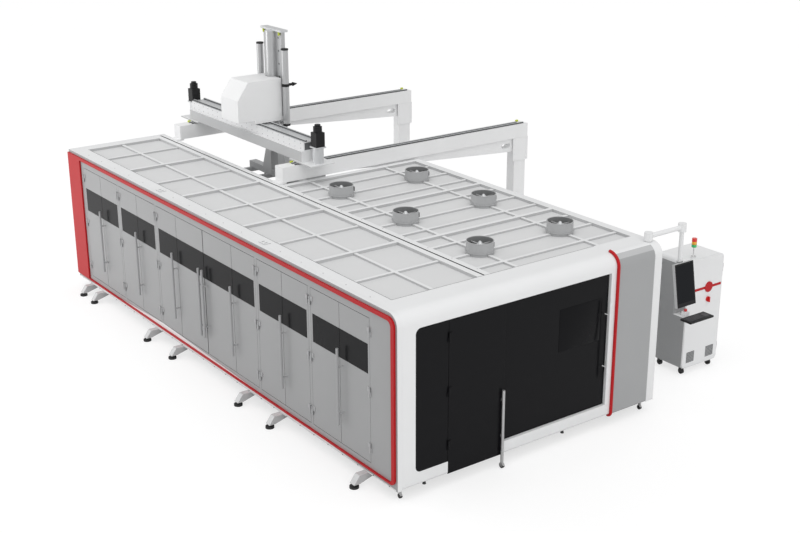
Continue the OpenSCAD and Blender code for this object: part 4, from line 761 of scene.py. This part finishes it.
@dataclass
class Loader:
    """The overhead loader with its bridge, carriage, column and suction frame."""

    nodes: dict[str, bpy.types.Object]
    rails: Pair = (4.89, 7.95)
    rail_buffer: Span = (0.1505, 0.19)
    bridge_x: Span = (1.905, 2.255)
    bridge_y: Span = (4.87, 8.17)
    bridge_top: float = 2.7495
    guide_z: float = 2.7505
    drive_flange: float = 2.7055
    tube_z: Span = (2.6203, 2.7503)
    tube_inset: float = 0.045
    tube_wall: float = 0.014
    column_x: Span = (2.405, 2.465)
    column_y: Span = (6.139, 6.639)
    column_z: Span = (2.4503, 4.0503)
    column_back: float = 2.4655
    cap_z: float = 4.05
    cylinder_x: float = 2.393
    cylinder_y: Pair = (6.039, 6.739)
    cylinder_r: float = 0.05
    cylinder_cap: float = 3.809
    clamp_z: Span = (3.28, 3.32)
    clamp_t: float = 0.005
    collar_z: Span = (2.7003, 2.73)
    collar_t: float = 0.004

    def dress(self) -> None:
        """Paints the loader and adds its bolts, holes, guide rails, stops and clamps."""
        paint(self.nodes["loader_frame"], Look.LOADER)
        paint(
            self.nodes["loader_tracks"],
            Look.DARK_STEEL_AND_GROOVE_SHADE,
            [(Look.BUFFER, self.in_rail_buffer), (Look.ALUMINIUM, lambda p, n: n.z > FACING)],
        )
        paint(
            self.nodes["bridge"],
            Look.WHITE,
            [
                (Look.ALUMINIUM, lambda p, n: p.z > self.bridge_top and n.z > FACING),
                (Look.DARK_STEEL_AND_GROOVE_SHADE, lambda p, n: p.z > self.guide_z),
                # Painted shade on the lower tube's door-side face, under the upper tube's overhang.
                (Look.SIDE_SHADE, lambda p, n: n.x < -FACING and p.z < self.tube_z[0]),
            ],
        )
        paint(
            self.nodes["bridge_drives"],
            Look.CASTING,
            [(Look.ALUMINIUM, lambda p, n: p.z < self.drive_flange)],
        )
        paint(self.nodes["carriage"], Look.LOADER)
        paint(
            self.nodes["lift_column"],
            Look.COLUMN,
            [
                (Look.BUFFER, lambda p, n: p.x > self.column_back and p.z < self.cap_z),
                (Look.ALUMINIUM, lambda p, n: p.z > self.cap_z),
            ],
        )
        paint(
            self.nodes["balance_cylinders"],
            Look.COLUMN,
            [(Look.PLASTIC, lambda p, n: p.z > self.cylinder_cap)],
        )
        paint(self.nodes["suction_frame"], Look.FORK)
        paint(self.nodes["suction_cups"], Look.RUBBER)
        self.add_bridge_bolts()
        self.add_bridge_end()
        self.add_column_guides()
        self.add_column_holes()
        self.add_column_stops()
        self.add_clamps()

    def in_rail_buffer(self, p: Vector, n: Vector) -> bool:
        """True for a face of the end buffers on the rail beams."""
        return any(within(p.y - rail, self.rail_buffer) for rail in self.rails)

    def add_bridge_bolts(self) -> None:
        """Adds the bolt rows on the bridge's upper tube."""
        count, end, row, bolt_h, bolt_r = 22, 0.08, 0.035, 0.004, 0.006
        x = self.bridge_x[0] + self.tube_inset
        z = sum(self.tube_z) / 2
        y0, y1 = self.bridge_y
        shape = Shape()
        for i in range(count):
            y = y0 + end + i * (y1 - y0 - 2 * end) / (count - 1)
            for dz in (-row, row):
                shape.rod((x + SUNK, y, z + dz), (x - bolt_h, y, z + dz), bolt_r, sides=HEX)
        shape.done("bridge_bolts", Look.GREY, "bridge")

    def add_bridge_end(self) -> None:
        """Adds a dark square of painted shade where the hollow shows in the near end of the bridge's upper
        tube.
        """
        (x0, x1), y, (z0, z1) = self.bridge_x, self.bridge_y[0], self.tube_z
        side = self.tube_inset + self.tube_wall
        low = (x0 + side, y - SUNK, z0 + self.tube_wall)
        high = (x1 - side, y + SUNK, z1 - self.tube_wall)
        Shape().box(low, high).done("bridge_hollow_shade", Look.DARK, "bridge")

    def add_column_guides(self) -> None:
        """Adds the guide rails with their bolts on the column's right face."""
        inset, half, thick, edge = 0.09, 0.02, 0.018, 0.002
        low_end, high_end = 0.02, 0.06
        count, first, pitch, bolt_r = 18, 0.07, 0.085, 0.008
        bolt_sunk, bolt_h = 0.0005, 0.0015
        x = self.column_x[1]
        face = x + thick
        z0, z1 = self.column_z
        guides, bolts = Shape(), Shape()
        for y in (self.column_y[0] + inset, self.column_y[1] - inset):
            guides.box((x, y - half, z0 + low_end), (face, y + half, z1 - high_end), edge)
            for i in range(count):
                z = z0 + first + i * pitch
                bolts.rod((face - bolt_sunk, y, z), (face + bolt_h, y, z), bolt_r, sides=ROUND)
        guides.done("column_guides", Look.STEEL, "lifter")
        bolts.done("column_bolts", Look.DARK_STEEL_AND_GROOVE_SHADE, "lifter")

    def add_column_holes(self) -> None:
        """Adds the bolt holes beside the column's round spine, wide ones on the near side."""
        aside, top_end, run, proud = 0.165, 0.09, 1.45, 0.0012
        near_pitch, near_r = 0.19, 0.015
        far_pitch, far_r = 0.095, 0.009
        x = self.column_x[0]
        middle = sum(self.column_y) / 2
        top = self.column_z[1] - top_end
        shape = Shape()
        for y, pitch, radius in ((middle - aside, near_pitch, near_r), (middle + aside, far_pitch, far_r)):
            for i in range(int(run / pitch)):
                z = top - i * pitch
                shape.rod((x + SUNK, y, z), (x - proud, y, z), radius, sides=ROUND)
        shape.done("column_holes", Look.DARK_STEEL_AND_GROOVE_SHADE, "lifter")

    def add_column_stops(self) -> None:
        """Adds the yellow stops below the column's cap."""
        inset, ahead, drop, low_r, top_r = 0.035, 0.0185, 0.05, 0.014, 0.0165
        x, top = self.column_x[0] - ahead, self.column_z[1]
        shape = Shape()
        for y in (self.column_y[0] + inset, self.column_y[1] - inset):
            shape.rod((x, y, top - drop), (x, y, top), low_r, top_r)
        shape.done("column_stops", Look.BUFFER, "lifter")

    def add_clamps(self) -> None:
        """Adds the black rings of the balance cylinders and the near one's clamp handle."""
        rings = ((self.clamp_z, self.clamp_t), (self.collar_z, self.collar_t))
        neck, tip, neck_r, grip_r, tip_r = 0.07, 0.14, 0.02, 0.03, 0.006
        x, r = self.cylinder_x, self.cylinder_r
        shape = Shape()
        for y in self.cylinder_y:
            for (low, high), thick in rings:
                shape.rod((x, y, low), (x, y, high), r + thick)
        y, z = self.cylinder_y[0], sum(self.clamp_z) / 2
        side = x + r
        shape.rod((side - self.clamp_t, y, z), (side + neck, y, z), neck_r)
        shape.rod((side + neck, y, z), (side + tip, y, z), grip_r, tip_r)
        shape.done("cylinder_clamps", Look.PLASTIC, "carriage")


@dataclass
class OperatorPanel:
    """The hanging operator panel with monitor, keyboard and stop button."""

    nodes: dict[str, bpy.types.Object]
    stalk_z: Span = (1.21, 1.822)
    front_share: float = 0.8
    middle_x: float = 4.435
    top: Pair = (0.095, 1.82)
    lean: float = 10.0
    size: Pair = (0.33, 0.55)
    tray: tuple[Point, Point] = ((4.31, -0.1905065, 1.12), (4.73, -0.0205065, 1.142))

    def dress(self) -> None:
        """Paints the panel and adds the screen and the keys."""
        paint(self.nodes["panel_base"], Look.WHITE)
        paint(self.nodes["panel_arm"], Look.WHITE)
        paint(
            self.nodes["panel_hanger"],
            Look.WHITE,
            [(Look.GREY, lambda p, n: within(p.z, self.stalk_z))],
        )
        paint(self.nodes["monitor"], Look.FOLD_HIGHLIGHT_AND_MONITOR_GREY, [(Look.PLASTIC, lambda p, n: n.y < -self.front_share)])
        paint(self.nodes["keyboard_tray"], Look.PLASTIC)
        paint(self.nodes["stop_button"], Look.STOP)
        self.add_screen()
        self.add_keys()

    def add_screen(self) -> None:
        """Adds the dark screen on the leaning front of the monitor."""
        side, above, below = 0.018, 0.02, 0.05
        w, h = self.size
        x, (y, z) = self.middle_x, self.top
        shape = Shape()
        shape.box((x - w / 2 + side, y - SUNK, z - h + below), (x + w / 2 - side, y + SUNK, z - above))
        pivot = Matrix.Translation(at(x, y, z))
        lean = pivot @ Matrix.Rotation(math.radians(-self.lean), 4, "X") @ pivot.inverted()
        shape.turned(lean).done("screen", Look.SCREEN, "panel")

    def add_keys(self) -> None:
        """Adds plain key caps and a touch pad on the tray."""
        columns, rows, cap, cap_h = 14, 5, 0.8, 0.005
        field_x, field_y = 0.27, 0.11
        left, front = 0.02, 0.03
        pad_x, pad_y, pad_h = (0.11, 0.03), 0.04, 0.002
        (x0, y0, _), (x1, y1, z) = self.tray
        pitch_x, pitch_y = field_x / columns, field_y / rows
        shape = Shape()
        for i in range(columns):
            for j in range(rows):
                x = x0 + left + i * pitch_x
                y = y0 + front + j * pitch_y
                shape.box((x, y, z), (x + pitch_x * cap, y + pitch_y * cap, z + cap_h))
        shape.box((x1 - pad_x[0], y0 + pad_y, z), (x1 - pad_x[1], y1 - pad_y, z + pad_h))
        shape.done("keys", Look.KEY, "panel")


@dataclass
class PowerCabinet:
    """The power cabinet with its door, switch, casters and signal lamp."""

    nodes: dict[str, bpy.types.Object]
    low: Point = (4.98, 0.47, 0.10)
    high: Point = (5.64, 0.99, 1.60)
    hinge_x: float = 5.6405
    stripe_y: float = 0.4695
    vent_x: Span = (5.04, 5.58)
    vent_y: Span = (0.4705, 0.4755)
    vent_top: float = 0.33
    slat_x: Pair = (5.05, 5.42)
    wheel_z: float = 0.081
    lamp_at: Pair = (0.175, 0.1)
    lamp_z: float = 1.747
    lens_h: float = 0.04

    def dress(self) -> None:
        """Paints the cabinet and adds side panels, vent slats and lenses."""
        paint(self.nodes["cabinet_shell"], Look.WHITE, [(Look.STEEL, lambda p, n: p.x > self.hinge_x)])
        paint(
            self.nodes["cabinet_door"],
            Look.WHITE,
            [
                (Look.STEEL, lambda p, n: p.x > self.hinge_x),
                (Look.RED, lambda p, n: p.y < self.stripe_y),
                (Look.DARK, self.in_vent),
            ],
        )
        paint(self.nodes["cabinet_switch"], Look.STOP)
        paint(self.nodes["cabinet_casters"], Look.RUBBER, [(Look.STEEL, lambda p, n: p.z > self.wheel_z)])
        green = (self.lamp_z - SUNK, self.lamp_z + self.lens_h)
        paint(
            self.nodes["signal_lamp"],
            Look.CHROME,
            [
                (Look.LAMP_GREEN, lambda p, n: within(p.z, green)),
                (Look.LAMP_RED, lambda p, n: p.z > green[1]),
            ],
        )
        self.add_side_panels()
        self.add_vents()
        self.add_lenses()

    def in_vent(self, p: Vector, n: Vector) -> bool:
        """True for the sunk ground of the two vents."""
        return within(p.y, self.vent_y) and p.z < self.vent_top and within(p.x, self.vent_x)

    def add_side_panels(self) -> None:
        """Adds the grey inset panels of both sides."""
        front, back, below, above = 0.022, 0.012, 0.015, 0.07
        thick, edge = 0.003, 0.001
        y0, y1 = self.low[1] + front, self.high[1] - back
        z0, z1 = self.low[2] + below, self.high[2] - above
        shape = Shape()
        shape.box((self.low[0] - thick, y0, z0), (self.low[0], y1, z1), edge)
        shape.box((self.high[0], y0, z0), (self.high[0] + thick, y1, z1), edge)
        shape.done("cabinet_side_panels", Look.SIDE_GREY, "machine")

    def add_vents(self) -> None:
        """Adds the slats of the two vents."""
        count, first, pitch, slat_h = 7, 0.076, 0.0205, 0.011
        left, right, front, back = 0.004, 0.146, 0.0008, 0.0048
        y = self.low[1]
        shape = Shape()
        for x in self.slat_x:
            for k in range(count):
                z = self.low[2] + first + k * pitch
                shape.box((x + left, y + front, z), (x + right, y + back, z + slat_h))
        shape.done("vent_slats", Look.GREY, "cabinet_door")

    def add_lenses(self) -> None:
        """Adds the three lenses around the lamp's core."""
        seam, lens_r = 0.002, 0.0335
        x, y = self.low[0] + self.lamp_at[0], self.low[1] + self.lamp_at[1]
        colours = (Look.LAMP_GREEN, Look.LAMP_AMBER, Look.LAMP_RED)
        for k, look in enumerate(colours):
            z = self.lamp_z + k * self.lens_h
            shape = Shape().rod((x, y, z + seam), (x, y, z + self.lens_h - seam), lens_r)
            shape.done(f"lens_{k + 1}", look, "machine")


@dataclass
class CuttingBed:
    """The pieces inside the cabin and under the loader."""

    nodes: dict[str, bpy.types.Object]
    rail_z: float = 0.7605

    def dress(self) -> None:
        """Paints the bed, the gantry, the table and the source."""
        paint(self.nodes["cutting_bed"], Look.GREY, [(Look.STEEL, lambda p, n: p.z > self.rail_z)])
        paint(self.nodes["gantry_beam"], Look.WHITE)
        paint(self.nodes["cutting_carriage"], Look.RED)
        paint(self.nodes["cutting_head"], Look.ALUMINIUM)
        paint(self.nodes["exchange_table"], Look.STEEL)
        paint(self.nodes["laser_source"], Look.DARK)


@dataclass(frozen=True)
class SoftLamp:
    """One large soft lamp: its name, place, target, side in metres and power in watts."""

    name: str
    place: Point
    target: Point
    size: float
    power: float


@dataclass
class Studio:
    """Floor, light and camera."""

    place: Point = (-7.237, -9.977, 7.157)
    yaw: float = 53.90
    pitch: float = -19.70
    roll: float = -0.168
    lens: float = 58.26
    sensor: float = 36.0
    sight: float = 300.0
    floor_size: float = 240.0
    floor_colour: tuple[float, float, float] = (0.88, 0.88, 0.88)
    floor_share: float = 0.42
    floor_lift: float = 0.66
    floor_roughness: float = 0.9
    floor_specular: float = 0.1
    pure_white: tuple[float, float, float, float] = (1.0, 1.0, 1.0, 1.0)
    sky: float = 0.56
    sun: float = 1.15
    sun_width: float = 75.0
    sun_ahead: Point = (0.12, 0.30, -1.0)
    front_lamp: SoftLamp = SoftLamp("front lamp", (-2.0, -14.0, 9.0), (1.9, 2.0, 1.0), 9.0, 370.0)
    side_lamp: SoftLamp = SoftLamp("side lamp", (-8.0, 13.0, 4.5), (0.0, 7.5, 1.0), 7.0, 420.0)

    def build(self) -> None:
        """Builds the floor, the lamps, the world and the camera."""
        self.add_floor()
        self.add_world()
        self.add_lamp(self.front_lamp)
        self.add_sun()
        self.add_lamp(self.side_lamp)
        self.add_camera()
        bpy.context.scene.view_settings.view_transform = "Standard"

    def add_floor(self) -> None:
        """Adds the plain pale floor, which the camera sees lifted towards white."""
        bpy.ops.mesh.primitive_plane_add(size=self.floor_size, location=(0.0, 0.0, 0.0))
        floor = bpy.context.object
        floor.name = "floor"
        made = bpy.data.materials.new("pale floor")
        made.use_nodes = True
        tree = made.node_tree
        shader = tree.nodes["Principled BSDF"]
        shader.inputs["Roughness"].default_value = self.floor_roughness
        shader.inputs["Specular IOR Level"].default_value = self.floor_specular
        path = tree.nodes.new("ShaderNodeLightPath")
        colour = tree.nodes.new("ShaderNodeMix")
        colour.data_type = "RGBA"
        colour.inputs["A"].default_value = (*self.floor_colour, 1.0)
        colour.inputs["B"].default_value = (*[c * self.floor_share for c in self.floor_colour], 1.0)
        lift = tree.nodes.new("ShaderNodeMath")
        lift.operation = "MULTIPLY"
        lift.inputs[1].default_value = self.floor_lift
        shader.inputs["Emission Color"].default_value = self.pure_white
        tree.links.new(path.outputs["Is Camera Ray"], colour.inputs["Factor"])
        tree.links.new(colour.outputs["Result"], shader.inputs["Base Color"])
        tree.links.new(path.outputs["Is Camera Ray"], lift.inputs[0])
        tree.links.new(lift.outputs["Value"], shader.inputs["Emission Strength"])
        floor.data.materials.append(made)

    def add_world(self) -> None:
        """Adds the even white surroundings, full white to the camera."""
        world = bpy.data.worlds.new("studio")
        world.use_nodes = True
        tree = world.node_tree
        sky = tree.nodes["Background"]
        sky.inputs["Color"].default_value = self.pure_white
        path = tree.nodes.new("ShaderNodeLightPath")
        level = tree.nodes.new("ShaderNodeMapRange")
        level.inputs["To Min"].default_value = self.sky
        level.inputs["To Max"].default_value = 1.0
        tree.links.new(path.outputs["Is Camera Ray"], level.inputs["Value"])
        tree.links.new(level.outputs["Result"], sky.inputs["Strength"])
        bpy.context.scene.world = world

    def add_lamp(self, lamp: SoftLamp) -> None:
        """Adds one large soft lamp.

        Args:
            lamp: What it is and where it stands.
        """
        data = bpy.data.lights.new(lamp.name, "AREA")
        data.size = lamp.size
        data.energy = lamp.power
        made = bpy.data.objects.new(lamp.name, data)
        bpy.context.scene.collection.objects.link(made)
        made.location = at(*lamp.place)
        made.rotation_euler = (at(*lamp.target) - at(*lamp.place)).to_track_quat("-Z", "Y").to_euler()

    def add_sun(self) -> None:
        """Adds the wide soft sun that lights floor and roof evenly."""
        data = bpy.data.lights.new("soft sun", "SUN")
        data.angle = math.radians(self.sun_width)
        data.energy = self.sun
        made = bpy.data.objects.new("soft sun", data)
        bpy.context.scene.collection.objects.link(made)
        made.rotation_euler = Vector(self.sun_ahead).to_track_quat("-Z", "Y").to_euler()

    def add_camera(self) -> None:
        """Adds the camera at the photograph's place."""
        data = bpy.data.cameras.new("camera")
        data.lens = self.lens
        data.sensor_width = self.sensor
        data.sensor_fit = "HORIZONTAL"
        data.clip_end = self.sight
        camera = bpy.data.objects.new("camera", data)
        bpy.context.scene.collection.objects.link(camera)
        yaw, pitch = math.radians(self.yaw), math.radians(self.pitch)
        ahead = Vector((math.cos(yaw) * math.cos(pitch), math.sin(yaw) * math.cos(pitch), math.sin(pitch)))
        turn = ahead.to_track_quat("-Z", "Y").to_matrix().to_4x4()
        roll = Matrix.Rotation(math.radians(self.roll), 4, "Z")
        camera.matrix_world = Matrix.Translation(at(*self.place)) @ turn @ roll
        bpy.context.scene.camera = camera


def main() -> None:
    """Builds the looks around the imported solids."""
    logging.basicConfig(level=logging.INFO, format="%(name)s: %(message)s")
    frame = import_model()
    nodes = frame["nodes"]
    for part in (Enclosure, SideDoors, FrontDoors, RoofFans, Loader, OperatorPanel, PowerCabinet, CuttingBed):
        part(nodes).dress()
        LOG.info("finished %s", part.__name__)
    Studio().build()


if __name__ == "__main__":
    main()
